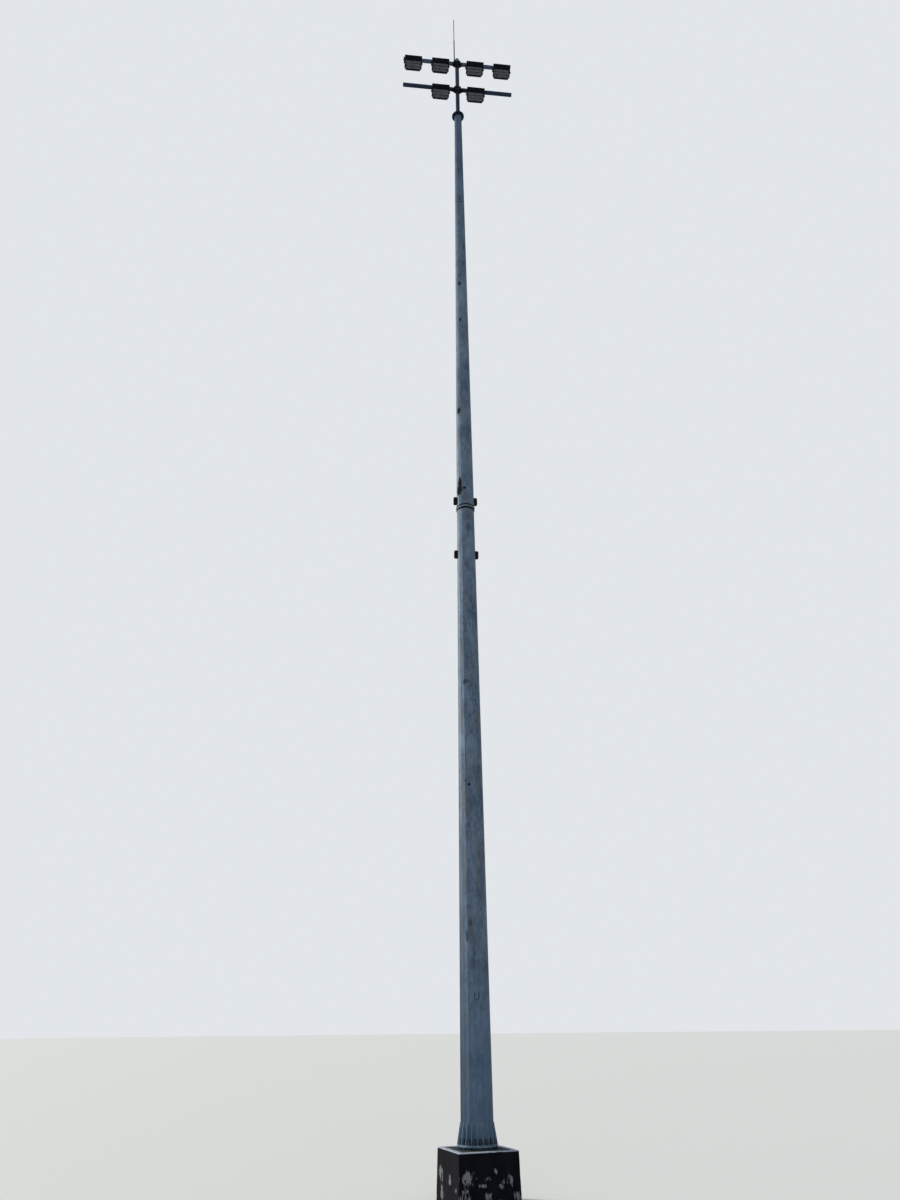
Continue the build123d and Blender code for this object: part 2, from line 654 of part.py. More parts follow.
def led_modules(x, level):
    """Light strips side by side across the window, seated on the recessed web."""
    plane = lamp_plane(x, level)
    module_pitch = WINDOW_HEIGHT / MODULE_COUNT
    with BuildPart() as modules:
        with BuildSketch(plane.offset(WEB_FRONT)):
            with Locations((0, WINDOW_MIDDLE)):
                with GridLocations(1, module_pitch, 1, MODULE_COUNT):
                    Rectangle(WINDOW_WIDTH - 2 * MODULE_SIDE_MARGIN, MODULE_HEIGHT)
        extrude(amount=MODULE_THICKNESS)
        front_faces = modules.faces().sort_by(Axis(plane.origin, plane.z_dir))[-MODULE_COUNT:]
        chamfer(front_faces.edges(), MODULE_EDGE)
    return modules


OUTER_LAMP_X = ARM_LENGTH / 2 - OUTER_LAMP_FROM_END
LAMP_PLACES = [
    (-OUTER_LAMP_X, UPPER_ARM_LEVEL),
    (-INNER_LAMP_FROM_POST, UPPER_ARM_LEVEL),
    (INNER_LAMP_FROM_POST, UPPER_ARM_LEVEL),
    (OUTER_LAMP_X, UPPER_ARM_LEVEL),
    (-INNER_LAMP_FROM_POST, LOWER_ARM_LEVEL),
    (INNER_LAMP_FROM_POST, LOWER_ARM_LEVEL),
]
for number, (x, level) in enumerate(LAMP_PLACES, start=1):
    keep(yoke(x, level), f"floodlight_{number}_yoke")
    keep(lamp_housing(x, level), f"floodlight_{number}_housing")
    keep(driver_box(x, level), f"floodlight_{number}_driver_box")
    keep(led_modules(x, level), f"floodlight_{number}_led_modules")
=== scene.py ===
import logging
from dataclasses import dataclass
from enum import Enum
from math import cos, degrees, pi, radians, sin, tan
from typing import Any, Callable, Mapping, Optional, Sequence, Union

import bmesh
import bpy
import numpy as np
from mathutils import Matrix, Vector


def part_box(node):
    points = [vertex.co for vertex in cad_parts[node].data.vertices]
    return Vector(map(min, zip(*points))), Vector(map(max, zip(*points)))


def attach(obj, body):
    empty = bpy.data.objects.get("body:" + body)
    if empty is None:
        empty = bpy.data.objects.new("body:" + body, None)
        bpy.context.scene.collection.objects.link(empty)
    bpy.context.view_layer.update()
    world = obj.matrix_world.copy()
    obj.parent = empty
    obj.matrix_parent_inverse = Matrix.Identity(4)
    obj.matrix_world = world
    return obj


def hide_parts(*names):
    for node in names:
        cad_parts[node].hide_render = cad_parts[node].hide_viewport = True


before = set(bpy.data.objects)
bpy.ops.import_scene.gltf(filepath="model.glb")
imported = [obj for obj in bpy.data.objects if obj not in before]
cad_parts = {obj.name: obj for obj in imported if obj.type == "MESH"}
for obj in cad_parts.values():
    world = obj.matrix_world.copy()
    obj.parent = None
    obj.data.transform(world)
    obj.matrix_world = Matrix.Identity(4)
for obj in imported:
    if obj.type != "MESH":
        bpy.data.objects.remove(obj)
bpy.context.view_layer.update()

# Looks of a high mast floodlight tower, laid over its CAD frame. Metres, +Z up, the origin at
# ground level on the mast's axis. The crossarms run along X and the floodlights face -Y.

MAST_SIDES = 16
X, Y, Z = np.identity(3)

Array = np.ndarray
Number = Union[float, Array]
Point = tuple[float, float, float]
Colour = tuple[float, float, float]
Scales = Union[float, Point]
HalfAt = Callable[[Number], Number]
Value = Union["Sock", float, tuple]

log = logging.getLogger("high_mast")


def srgb(red: float, green: float, blue: float) -> Colour:
    """Linear colour of an sRGB colour given as three levels from 0 to 255."""
    levels = np.array([red, green, blue]) / 255
    return tuple(np.where(levels <= 0.04045, levels / 12.92, ((levels + 0.055) / 1.055) ** 2.4).tolist())


# Near-black: tar on the mast, and painted shade under the headframe's crossings.
TAR_AND_SHADE = srgb(10, 12, 16)
RUST = srgb(56, 34, 32)
LIME = srgb(86, 98, 118)
DUSK = srgb(34, 42, 52)
SLATE = srgb(68, 90, 112)


class Slot(str, Enum):
    """Material slots of the record."""

    CONCRETE = "black_painted_concrete"
    GROUT = "grout"
    ZINC = "galvanised_steel"
    HEADFRAME = "headframe_steel"
    FASTENER = "anchor_bolt_steel"
    BLACK_STEEL = "black_painted_steel"
    CASTING = "black_lamp_casting"
    LENS = "lamp_lens"


class Edges(Enum):
    """Which edges of a CAD solid are rounded."""

    CORNERS = "corners"
    BENDS = "bends"


class Sock:
    """A node's output socket that takes part in Python arithmetic."""

    def __init__(self, graph: "NodeGraph", socket: bpy.types.NodeSocket) -> None:
        """Wrap one output socket of a graph."""
        self.graph = graph
        self.socket = socket

    def _math(self, operation: str, first: Value, second: Value) -> "Sock":
        """One Math node with the given operation."""
        return self.graph.node("ShaderNodeMath", {"operation": operation}, {0: first, 1: second})

    def __add__(self, other: Value) -> "Sock":
        """self + other."""
        return self._math("ADD", self, other)

    __radd__ = __add__

    def __mul__(self, other: Value) -> "Sock":
        """self * other."""
        return self._math("MULTIPLY", self, other)

    __rmul__ = __mul__

    def __sub__(self, other: Value) -> "Sock":
        """self - other."""
        return self._math("SUBTRACT", self, other)

    def __rsub__(self, other: Value) -> "Sock":
        """other - self."""
        return self._math("SUBTRACT", other, self)

    def __abs__(self) -> "Sock":
        """The size of self without its sign."""
        return self._math("ABSOLUTE", self, 0.0)

    def largest(self, other: Value) -> "Sock":
        """The larger of self and other."""
        return self._math("MAXIMUM", self, other)

    def smooth(self, low: float, high: float) -> "Sock":
        """0 below low, 1 above high, and a smooth step between them."""
        inputs = {"Value": self, "From Min": low, "From Max": high}
        return self.graph.node("ShaderNodeMapRange", {"interpolation_type": "SMOOTHSTEP"}, inputs)

    def other(self, name: str) -> "Sock":
        """Another output of the same node."""
        return Sock(self.graph, self.socket.node.outputs[name])


class NodeGraph:
    """Builds the nodes of one material or world."""

    def __init__(self, owner: Union[bpy.types.Material, bpy.types.World]) -> None:
        """Start with an empty node tree.

        Args:
            owner: the material or world that the nodes belong to.
        """
        owner.use_nodes = True
        self.tree = owner.node_tree
        self.tree.nodes.clear()

    def node(
        self,
        kind: str,
        settings: Optional[Mapping[str, Any]] = None,
        inputs: Optional[Mapping[Union[str, int], Value]] = None,
        output: Union[str, int] = 0,
    ) -> Sock:
        """Add any node.

        Args:
            kind: the node's type name.
            settings: its own settings, set before its sockets.
            inputs: values or links of its sockets, by name or number.
            output: the output that is returned.

        Returns:
            The chosen output, ready for arithmetic.
        """
        made = self.tree.nodes.new(kind)
        for key, value in (settings or {}).items():
            setattr(made, key, value)
        for key, value in (inputs or {}).items():
            socket = made.inputs[key]
            if isinstance(value, Sock):
                self.tree.links.new(value.socket, socket)
            else:
                socket.default_value = (*value, 1.0) if socket.type == "RGBA" else value
        return Sock(self, made.outputs[output] if len(made.outputs) else made.inputs[0])

    def point(self) -> Sock:
        """The shaded point in the piece's own coordinates, in metres."""
        return self.node("ShaderNodeTexCoord", output="Object")

    def vector(self, operation: str, first: Value, second: Value, output: int = 0) -> Sock:
        """One Vector Math node."""
        return self.node("ShaderNodeVectorMath", {"operation": operation}, {0: first, 1: second}, output)

    def stretched(self, scales: Scales) -> Sock:
        """The point with its axes multiplied, so that a pattern is drawn out along the small ones."""
        return self.vector("MULTIPLY", self.point(), tuple(np.broadcast_to(scales, 3).tolist()))

    def noise(self, scales: Scales, detail: float = 3.0, rough: float = 0.55, twist: float = 0.0) -> Sock:
        """Cloudy noise from about 0.25 to 0.75, with so many lumps a metre along all axes or each."""
        look = {"Scale": 1.0, "Detail": detail, "Roughness": rough, "Distortion": twist}
        return self.node("ShaderNodeTexNoise", None, {"Vector": self.stretched(scales), **look})

    def cells(self, scales: Point) -> tuple[Sock, Sock]:
        """Voronoi pattern: the distance to the nearest of its random points, and that point's own grey."""
        away = self.node("ShaderNodeTexVoronoi", None, {"Vector": self.stretched(scales), "Scale": 1.0})
        return away, self.node("ShaderNodeSeparateColor", None, {0: away.other("Color")})

    def spots(self, scales: Point, share: float) -> Sock:
        """Small dark-or-bright spots at some of the random points of a Voronoi pattern.

        Args:
            scales: points a metre along each axis.
            share: the share of the points that carry a spot.

        Returns:
            1 in a spot and 0 between the spots.
        """
        away, lot = self.cells(scales)
        return (1 - away.smooth(0.06, 0.22)) * lot.smooth(1 - share, 1.02 - share)

    def blend(self, factor: Value, first: Value, second: Value) -> Sock:
        """Colour that goes from first to second as the factor goes from 0 to 1."""
        return self.node("ShaderNodeMix", {"data_type": "RGBA"}, {0: factor, 6: first, 7: second}, 2)


@dataclass(frozen=True)
class Coat:
    """What a finish gives to the points of a surface."""

    colour: Value
    roughness: Value
    metallic: Value
    height: Sock
    depth: float
    clear: float = 0.0
    specular: float = 0.25


@dataclass(frozen=True)
class Mark:
    """A mark with an oval outline and a ragged edge. Most are stains and worn places; some are painted shade,
    and one is a painted highlight.
    """

    centre: Point
    reach: Point
    colour: Colour
    strength: float
    ragged: float
    soft: float = 0.35

    def mask(self, graph: NodeGraph) -> Sock:
        """How much of the mark lies on the point.

        The distance is the length of (point - centre) / reach, shaken by noise, and the mask
        falls from 1 to 0 as it nears 1.

        Args:
            graph: the nodes of the material.

        Returns:
            The mask, from 0 to the mark's strength.
        """
        offset = graph.vector("SUBTRACT", graph.point(), self.centre)
        away = graph.vector("LENGTH", graph.vector("DIVIDE", offset, self.reach), (0.0, 0.0, 0.0), 1)
        grain = 1.2 / min(self.reach)
        shake = graph.noise((grain, grain, grain / 2), 5.0, 0.65)
        distance = away + (shake - 0.5) * self.ragged
        return (1 - distance.smooth(1 - self.soft, 1.0)) * self.strength


@dataclass(frozen=True)
class Finish:
    """A material by name, built the first time that it is asked for."""

    name: str
    slot: Slot

    def coat(self, graph: NodeGraph) -> Coat:
        """The look of each point. Every finish gives its own."""
        raise NotImplementedError(self.name)

    def material(self) -> bpy.types.Material:
        """The Blender material of this finish.

        Returns:
            The material, made once and then found by its name.
        """
        known = bpy.data.materials.get(self.name)
        if known is not None:
            return known
        made = bpy.data.materials.new(self.name)
        graph = NodeGraph(made)
        coat = self.coat(graph)
        shader = graph.node("ShaderNodeBsdfPrincipled", None, {
            "Base Color": coat.colour,
            "Roughness": coat.roughness,
            "Metallic": coat.metallic,
            "Coat Weight": coat.clear,
            "Specular IOR Level": coat.specular,
            "Normal": graph.node("ShaderNodeBump", None, {"Distance": coat.depth, "Height": coat.height}),
        })
        graph.node("ShaderNodeOutputMaterial", None, {"Surface": shader})
        return made


@dataclass(frozen=True)
class WeatheredZinc(Finish):
    """Hot-dip zinc gone dull: long streaks down the steel, a faint spangle, and marks: stains, and on some
    pieces painted shade and a painted highlight.
    """

    pale: Colour = srgb(102, 118, 135)
    dark: Colour = srgb(43, 57, 74)
    warm: Colour = srgb(96, 92, 82)
    marks: tuple[Mark, ...] = ()
    shine: float = 0.2

    def coat(self, graph: NodeGraph) -> Coat:
        """Streaks in three widths, blotches, grime, small spots, spangle, and the marks over them: stains, and
        on some pieces painted shade and a painted highlight.

        Args:
            graph: the nodes of the material.

        Returns:
            The look of each point.
        """
        wide = graph.noise((5.0, 5.0, 1.6), 4.0, 0.6, 0.3)
        narrow = graph.noise((24.0, 24.0, 7.0), 5.0, 0.65, 0.6)
        fine = graph.noise((90.0, 90.0, 40.0), 3.0)
        blotch = graph.noise((3.4, 3.4, 2.6), 5.0, 0.65)
        spangle = graph.cells((150.0, 150.0, 110.0))[1]
        tone = wide * 0.25 + narrow * 0.25 + fine * 0.2 + blotch * 0.3
        colour = graph.blend(tone.smooth(0.36, 0.64), self.dark, self.pale)
        drip = graph.noise((9.0, 9.0, 1.8), 5.0, 0.65, 0.6).smooth(0.50, 0.66)
        colour = graph.blend(drip * 0.4, colour, self.warm)
        grime = graph.noise((16.0, 16.0, 5.0), 6.0, 0.7, 0.9).smooth(0.57, 0.66)
        colour = graph.blend(grime * 0.45, colour, self.dark)
        colour = graph.blend(graph.spots((11.0, 11.0, 6.0), 0.2) * 0.7, colour, TAR_AND_SHADE)
        colour = graph.blend(spangle * 0.12, colour, self.pale)
        # This mask gathers grime and every mark, the painted shade and highlight among them, to raise the
        # roughness and lower the metallic.
        stain = grime * 0.2
        for mark in self.marks:
            mask = mark.mask(graph)
            colour = graph.blend(mask, colour, mark.colour)
            stain = stain.largest(mask)
        roughness = 0.46 + tone * 0.22 + spangle * 0.06 + stain * 0.35
        metallic = (1 - stain) * self.shine if self.shine else 0.0
        return Coat(colour, roughness, metallic, fine * 0.6 + spangle * 0.4, 0.0006, specular=0.1)


@dataclass(frozen=True)
class PaintedConcrete(Finish):
    """Concrete under a black bitumen paint that has worn off in streaks and along the top edge,
    with a pale rim on the top that is partly painted highlight.
    """

    top: float
    half: float
    turn: float
    patches: tuple[Mark, ...]
    paint: Colour = srgb(5, 6, 10)
    faded: Colour = srgb(15, 16, 22)
    bare: Colour = srgb(110, 113, 118)
    # edge is the pale rim on the top, partly bare concrete and partly painted highlight; damp is the darker
    # inner top, partly dirt and partly painted shadow under the base plate.
    edge: Colour = srgb(172, 180, 190)
    damp: Colour = srgb(44, 51, 60)

    def along(self, graph: NodeGraph, angle: float) -> Sock:
        """How far the point lies from the middle in a direction given from the block's own X."""
        way = (cos(self.turn + angle), sin(self.turn + angle), 0.0)
        return graph.vector("DOT_PRODUCT", graph.point(), way, 1)

    def coat(self, graph: NodeGraph) -> Coat:
        """Paint where the wear is low, bare concrete where it is high, and on the top a pale rim, partly
        painted highlight, round a darker middle, partly painted shadow under the plate.

        The wear goes from 0 to 1 as 0.22 cover + streak goes from 0.68 to 0.70. The cover falls
        off from the middle of each patch, and on the two far sides it comes from a broad noise.

        Args:
            graph: the nodes of the material.

        Returns:
            The look of each point.
        """
        height = graph.node("ShaderNodeSeparateXYZ", None, {0: graph.point()}, "Z")
        grain = graph.noise(55.0, 5.0, 0.65)
        ragged = graph.noise((16.0, 16.0, 9.0), 4.0, 0.65)
        streak = graph.noise((32.0, 32.0, 8.0), 6.0, 0.72, 0.6)
        shade = graph.noise((5.0, 5.0, 3.5), 3.0)
        far = self.along(graph, pi / 4).smooth(0.0, 0.08)
        low = 1 - height.smooth(self.top - 0.24, self.top - 0.10)
        cover = shade.smooth(0.45, 0.62) * far * low
        for patch in self.patches:
            cover = cover.largest(patch.mask(graph))
        wear = (cover * 0.22 + streak).smooth(0.68, 0.70)
        reach = abs(self.along(graph, 0.0)).largest(abs(self.along(graph, pi / 2)))
        # Painted light on the top: a pale rim along its edges, partly painted highlight, round a darker
        # middle, partly painted shadow under the base plate.
        rim = (reach + ragged * 0.08).smooth(self.half - 0.045, self.half - 0.02)
        above = height.smooth(self.top - 0.012, self.top - 0.004)
        slab = graph.blend(rim * 0.9, graph.blend(grain, self.damp, self.paint), self.edge)
        concrete = graph.blend(grain.smooth(0.3, 0.7) * 0.4, slab, self.bare)
        colour = graph.blend(shade.smooth(0.3, 0.7), self.paint, self.faded)
        colour = graph.blend(wear * 0.85, colour, self.bare)
        colour = graph.blend(above, colour, concrete)
        rough = 0.8 + wear * 0.1 + above * 0.1
        relief = grain * 0.7 + ragged * 0.6 - wear * 0.3
        return Coat(colour, rough, 0.0, relief, 0.003, specular=0.05)


@dataclass(frozen=True)
class RawCement(Finish):
    """Cement grout, damp and dirty."""

    dark: Colour = srgb(38, 39, 40)
    pale: Colour = srgb(96, 95, 90)

    def coat(self, graph: NodeGraph) -> Coat:
        """Lumps in two sizes.

        Args:
            graph: the nodes of the material.

        Returns:
            The look of each point.
        """
        lumps = graph.noise(40.0, 5.0, 0.7)
        sand = graph.noise(260.0, 2.0)
        colour = graph.blend(lumps.smooth(0.35, 0.7), self.dark, self.pale)
        return Coat(colour, 0.9, 0.0, lumps + sand * 0.4, 0.004)


@dataclass(frozen=True)
class DarkSteel(Finish):
    """Steel gone dark with grease and weather, with touches of rust."""

    dark: Colour = srgb(18, 29, 41)
    pale: Colour = srgb(52, 68, 84)
    rust: Colour = srgb(72, 56, 46)
    rusty: float = 0.12

    def coat(self, graph: NodeGraph) -> Coat:
        """Grease in blotches, and rust where two noises meet.

        Args:
            graph: the nodes of the material.

        Returns:
            The look of each point.
        """
        blotch = graph.noise(30.0, 4.0, 0.6)
        spots = graph.noise(90.0, 3.0)
        colour = graph.blend(blotch.smooth(0.4, 0.7), self.dark, self.pale)
        rust = (blotch * 0.5 + spots * 0.5).smooth(0.52, 0.62) * self.rusty
        colour = graph.blend(rust, colour, self.rust)
        return Coat(colour, 0.48 + spots * 0.2 + rust * 0.3, 0.4, spots, 0.0005)


@dataclass(frozen=True)
class BlackPaint(Finish):
    """Matt black paint, chalked by the sun and thin on its high spots."""

    paint: Colour = srgb(8, 11, 16)
    chalk: Colour = srgb(28, 32, 38)
    under: Colour = srgb(84, 88, 92)
    worn: float = 0.3
    roughness: float = 0.57

    def coat(self, graph: NodeGraph) -> Coat:
        """Chalk in clouds, and chips down to the metal where fine noise peaks.

        Args:
            graph: the nodes of the material.

        Returns:
            The look of each point.
        """
        clouds = graph.noise((9.0, 9.0, 5.0), 4.0, 0.6)
        chips = graph.noise(70.0, 3.0).smooth(0.66, 0.70) * self.worn
        peel = graph.noise(420.0, 2.0)
        colour = graph.blend(clouds.smooth(0.42, 0.72) * 0.6, self.paint, self.chalk)
        colour = graph.blend(chips, colour, self.under)
        relief = peel - chips * 0.5
        return Coat(colour, self.roughness + clouds * 0.15, 0.0, relief, 0.0005, specular=0.06)


@dataclass(frozen=True)
class LampLens(Finish):
    """Clear moulded covers over pale boards, with a little dust."""

    pale: Colour = srgb(88, 92, 100)
    dark: Colour = srgb(52, 57, 68)

    def coat(self, graph: NodeGraph) -> Coat:
        """Dust in clouds over a glossy cover.

        Args:
            graph: the nodes of the material.

        Returns:
            The look of each point.
        """
        dust = graph.noise(18.0, 4.0, 0.6)
        specks = graph.noise(220.0, 2.0)
        colour = graph.blend(dust.smooth(0.35, 0.7), self.pale, self.dark)
        return Coat(colour, 0.22 + dust * 0.3, 0.0, specks, 0.0002, 0.15)


@dataclass(frozen=True)
class Sealant(Finish):
    """Black joint sealant, laid by hand."""

    fresh: Colour = srgb(7, 8, 10)
    dusty: Colour = srgb(22, 24, 27)

    def coat(self, graph: NodeGraph) -> Coat:
        """Nearly black, dusty in places.

        Args:
            graph: the nodes of the material.

        Returns:
            The look of each point.
        """
        smears = graph.noise(30.0, 3.0)
        colour = graph.blend(smears.smooth(0.4, 0.7), self.fresh, self.dusty)
        return Coat(colour, 0.6 + smears * 0.3, 0.0, smears, 0.001, specular=0.1)


GREASED = DarkSteel("greased_steel", Slot.FASTENER)


@dataclass
class Shape:
    """A surface as arrays: its points, its four-sided faces and its end faces."""

    points: Array
    quads: Array
    ends: list[list[int]]

    def repeated(self, matrices: Union[Array, Sequence[Array]]) -> "Shape":
        """Copies of the shape. Point k of copy m is turn_m @ point_k + move_m.

        Args:
            matrices: a 4 x 4 matrix for each copy.

        Returns:
            One shape that holds all copies.
        """
        matrices = np.reshape(matrices, (-1, 4, 4))
        copies = np.einsum("mij,kj->mki", matrices[:, :3, :3], self.points) + matrices[:, None, :3, 3]
        return joined([Shape(copy, self.quads, self.ends) for copy in copies])


def joined(shapes: Sequence[Shape]) -> Shape:
    """Several shapes as one.

    Args:
        shapes: the shapes, whose faces are renumbered in order.

    Returns:
        One shape with all their points and faces.
    """
    starts = np.cumsum([0] + [len(shape.points) for shape in shapes]).tolist()
    quads = np.concatenate([shape.quads + start for shape, start in zip(shapes, starts)])
    ends = [[k + start for k in end] for shape, start in zip(shapes, starts) for end in shape.ends]
    return Shape(np.concatenate([shape.points for shape in shapes]), quads, ends)


def skin(rings: Array, ring_path: bool = False) -> Shape:
    """Surface through a stack of closed rings of points.

    Face (i, j) joins points (i, j), (i, j + 1), (i + 1, j + 1) and (i + 1, j), where j runs
    round a ring and starts again at its end.

    Args:
        rings: points as rows x columns x 3.
        ring_path: True where the last ring meets the first one, which leaves no end faces.

    Returns:
        The surface, closed at both ends.
    """
    rows, columns = rings.shape[:2]
    steps = rows if ring_path else rows - 1
    i, j = np.meshgrid(np.arange(steps), np.arange(columns), indexing="ij")
    i_next, j_next = (i + 1) % rows, (j + 1) % columns
    corners = [i * columns + j, i * columns + j_next, i_next * columns + j_next, i_next * columns + j]
    quads = np.stack(corners, axis=-1).reshape(-1, 4)
    first = list(range(columns))
    last = [(rows - 1) * columns + k for k in first]
    return Shape(rings.reshape(-1, 3), quads, [] if ring_path else [first[::-1], last])


def points(x: Number, y: Number, z: Number) -> Array:
    """Points (x, y, z), the three broadcast against each other."""
    return np.stack(np.broadcast_arrays(x, y, z), axis=-1)


def polar(radius: Number, angle: Number, z: Number) -> Array:
    """Points (r cos a, r sin a, z), the three broadcast against each other."""
    return points(radius * np.cos(angle), radius * np.sin(angle), z)


def turns(count: int) -> Array:
    """Angles 2 pi k / count round a circle."""
    return np.arange(count) * 2 * pi / count


def spaced(count: int, pitch: float) -> Array:
    """Places at a pitch on both sides of 0: (k - (count - 1) / 2) pitch."""
    return (np.arange(count) - (count - 1) / 2) * pitch


def revolved(profile: Sequence[tuple[float, float]], sides: int) -> Shape:
    """A profile of radii r_i and heights z_i turned about Z: P(i, j) = (r_i cos a_j, r_i sin a_j, z_i)."""
    radius, level = np.array(profile, float).T[..., None]
    return skin(polar(radius, turns(sides), level))


def flat_washer(bore: float, radius: float, thickness: float, sides: int) -> Shape:
    """A flat round plate on Z = 0, turned from its profile, round a bolt as thick as its bore."""
    return revolved([(bore, 0.0), (radius, 0.0), (radius, thickness), (bore, thickness)], sides)


def polygon_stretch(angle: Array, sides: int) -> Array:
    """Radius 1 / cos(b) of a polygon with apothem 1, where b is the angle from the nearest flat's middle."""
    flat = 2 * pi / sides
    return 1 / np.cos((angle + flat / 2) % flat - flat / 2)


def hex_nut(width: float, height: float, bore: float = 0.0) -> Shape:
    """A nut or bolt head, standing on Z = 0.

    Its radius is the smaller of the hexagon's, (width / 2) / cos(b), and that of a cone at
    30 degrees that takes the corners off both ends.

    Args:
        width: width across the flats.
        height: height of the nut.
        bore: radius of a shallow dish in the top, or 0 for a plain head.

    Returns:
        The closed surface.
    """
    angle = turns(24)
    chamfer = width * 0.045
    level = np.array([[0.0], [chamfer], [height - chamfer], [height]])
    cone = width / 2 + np.minimum(level, height - level) / tan(radians(30))
    rings = polar(np.minimum(width / 2 * polygon_stretch(angle, 6), cone), angle, level)
    if bore > 0:
        rings = np.concatenate([rings, polar(bore, angle, np.array([[height], [height - chamfer]]))])
    return skin(rings)


def threaded_rod(diameter: float, pitch: float, bottom: float, top: float) -> Shape:
    """A rod with a thread: r = R - d * |2 (z / pitch - a / 2 pi mod 1) - 1|, d the thread's depth.

    Args:
        diameter: outside diameter.
        pitch: length of one turn of the thread.
        bottom: where it starts.
        top: where it ends.

    Returns:
        The closed surface, with a small chamfer at its top.
    """
    angle = turns(16)
    level = np.linspace(bottom, top, int((top - bottom) / pitch * 5))[:, None]
    wave = np.abs(2 * ((level / pitch - angle / (2 * pi)) % 1) - 1)
    radius = np.minimum(diameter / 2 - 0.55 * pitch * wave, 0.4 * diameter + (top - level))
    return skin(polar(radius, angle, level))


def square_round(count: int, even: float = 0.0) -> Array:
    """Points round the square from -1 to 1, from corner (-1, -1) anticlockwise, close at corners.

    A side's points are at (1 - e) * -cos(pi f) + e (2 f - 1), where f = k / count.

    Args:
        count: points on each side.
        even: the share e of even spacing.

    Returns:
        The points, all four sides in a row.
    """
    f = np.arange(count) / count
    run = even * (2 * f - 1) - (1 - even) * np.cos(pi * f)
    one = np.ones(count)
    sides = ((run, -one), (one, run), (-run, one), (-one, -run))
    return np.concatenate([np.stack(side, axis=-1) for side in sides])


def rounded_square(square: Array, half_width: Number, half_height: Number, corner: Number) -> Array:
    """The square's points carried onto a rectangle with round corners.

    A point is cut back to the core, which is the rectangle less the corner's radius, and then
    set out from the core by that radius.

    Args:
        square: points round the square from -1 to 1.
        half_width: half the rectangle's width, one for each ring.
        half_height: half its height.
        corner: radius of its corners.

    Returns:
        The rings of points.
    """
    half = np.stack(np.broadcast_arrays(half_width, half_height), axis=-1)[..., None, :]
    radius = np.asarray(corner)[..., None, None]
    point = square * half
    core = np.clip(point, -(half - radius), half - radius)
    out = point - core
    return core + radius * out / np.maximum(np.linalg.norm(out, axis=-1, keepdims=True), 1e-12)


def slab(width: float, height: float, depth: float, corner: float, edge: float) -> Shape:
    """A plate with round corners and softened edges, from Z = 0 to its depth.

    Rings of the same outline are stacked, drawn in by the edge's radius at both faces.

    Args:
        width: size along X.
        height: size along Y.
        depth: size along Z.
        corner: radius of the outline's corners.
        edge: radius of the edges.

    Returns:
        The closed surface.
    """
    inset = edge * np.array([1.0, 0.3, 0.0, 0.0, 0.3, 1.0])
    level = np.array([0.0, edge * 0.3, edge, depth - edge, depth - edge * 0.3, depth])
    flat = rounded_square(square_round(8), width / 2 - inset, height / 2 - inset, corner - inset * 0.5)
    return skin(points(flat[..., 0], flat[..., 1], level[:, None]))


WELD_SECTION = np.array([(-0.3, -0.3), (1, -0.3), (1, 0), (0.66, 0.5), (0.5, 0.66), (0, 1), (-0.3, 1)])


def weld(
    path: Array, away: Array, up: Array, leg: float, ring_path: bool = True, ripple: float = 0.1
) -> Shape:
    """A fillet of weld: P(i, j) = path_i + leg_i (a_j away_i + b_j up_i).

    The pairs (a_j, b_j) go round a quarter-round section whose corner is sunk a little into
    the steel, and leg_i swells with every ripple.

    Args:
        path: points along the inner corner.
        away: direction along the one plate, at each point or for all.
        up: direction along the other plate.
        leg: length of the fillet's legs.
        ring_path: True where the path closes on itself.
        ripple: share of its leg by which the fillet swells.

    Returns:
        The closed surface.
    """
    away, up = (np.broadcast_to(way, path.shape)[:, None] for way in (away, up))
    size = leg * (1 + ripple * np.sin(np.arange(len(path)) * 2.1))[:, None, None]
    section = WELD_SECTION[None, :, :1] * away + WELD_SECTION[None, :, 1:] * up
    return skin(path[:, None] + size * section, ring_path)


def round_weld(
    radius: float, level: float, leg: float, sides: int = 0, rising: float = 1.0, ripple: float = 0.1
) -> Shape:
    """A fillet round an upright tube: path = radius * s(a) * (cos a, sin a), level.

    Args:
        radius: the tube's radius, or the apothem of a polygonal one.
        level: height of the plate that the tube is welded to.
        leg: length of the fillet's legs.
        sides: number of flats of a polygonal tube, or 0 for a round one.
        rising: height of the fillet over its leg, negative for one below the plate.
        ripple: share of its leg by which the fillet swells.

    Returns:
        The closed surface.
    """
    angle = turns(192)
    reach = radius * (polygon_stretch(angle, sides) if sides else 1.0)
    return weld(polar(reach, angle, level), polar(1.0, angle, 0.0), rising * Z, leg, ripple=ripple)


def circle_places(radius: float, count: int, start: float, level: float, spin: Number = 0.0) -> Array:
    """Matrices round a circle, at angles start + 2 pi k / count, whose own X points outwards.

    Args:
        radius: radius of the circle.
        count: number of places.
        start: angle of the first one.
        level: their height.
        spin: how far each one is turned further about its own Z.

    Returns:
        A 4 x 4 matrix for each place.
    """
    angle = start + turns(count)
    made = np.repeat(np.identity(4)[None], count, axis=0)
    made[:, :3, 0] = polar(1.0, angle + spin, 0.0)
    made[:, :3, 1] = polar(1.0, angle + spin + pi / 2, 0.0)
    made[:, :3, 3] = polar(radius, angle, level)
    return made


def plane(origin: Sequence[float], x_axis: Array, z_axis: Array) -> Array:
    """Matrix at an origin with the given X and Z axes, and Y = Z x X."""
    columns = np.stack([x_axis, np.cross(z_axis, x_axis), z_axis, origin], axis=-1)
    return np.concatenate([columns, np.identity(4)[3:]])


def places_on(base: Array, places: Sequence[Point]) -> Array:
    """The base matrix moved to each place.

    Args:
        base: a 4 x 4 matrix.
        places: the places, in the base's own axes.

    Returns:
        A 4 x 4 matrix for each place.
    """
    made = np.repeat(base[None], len(places), axis=0)
    made[:, :3, 3] += np.array(places) @ base[:3, :3].T
    return made


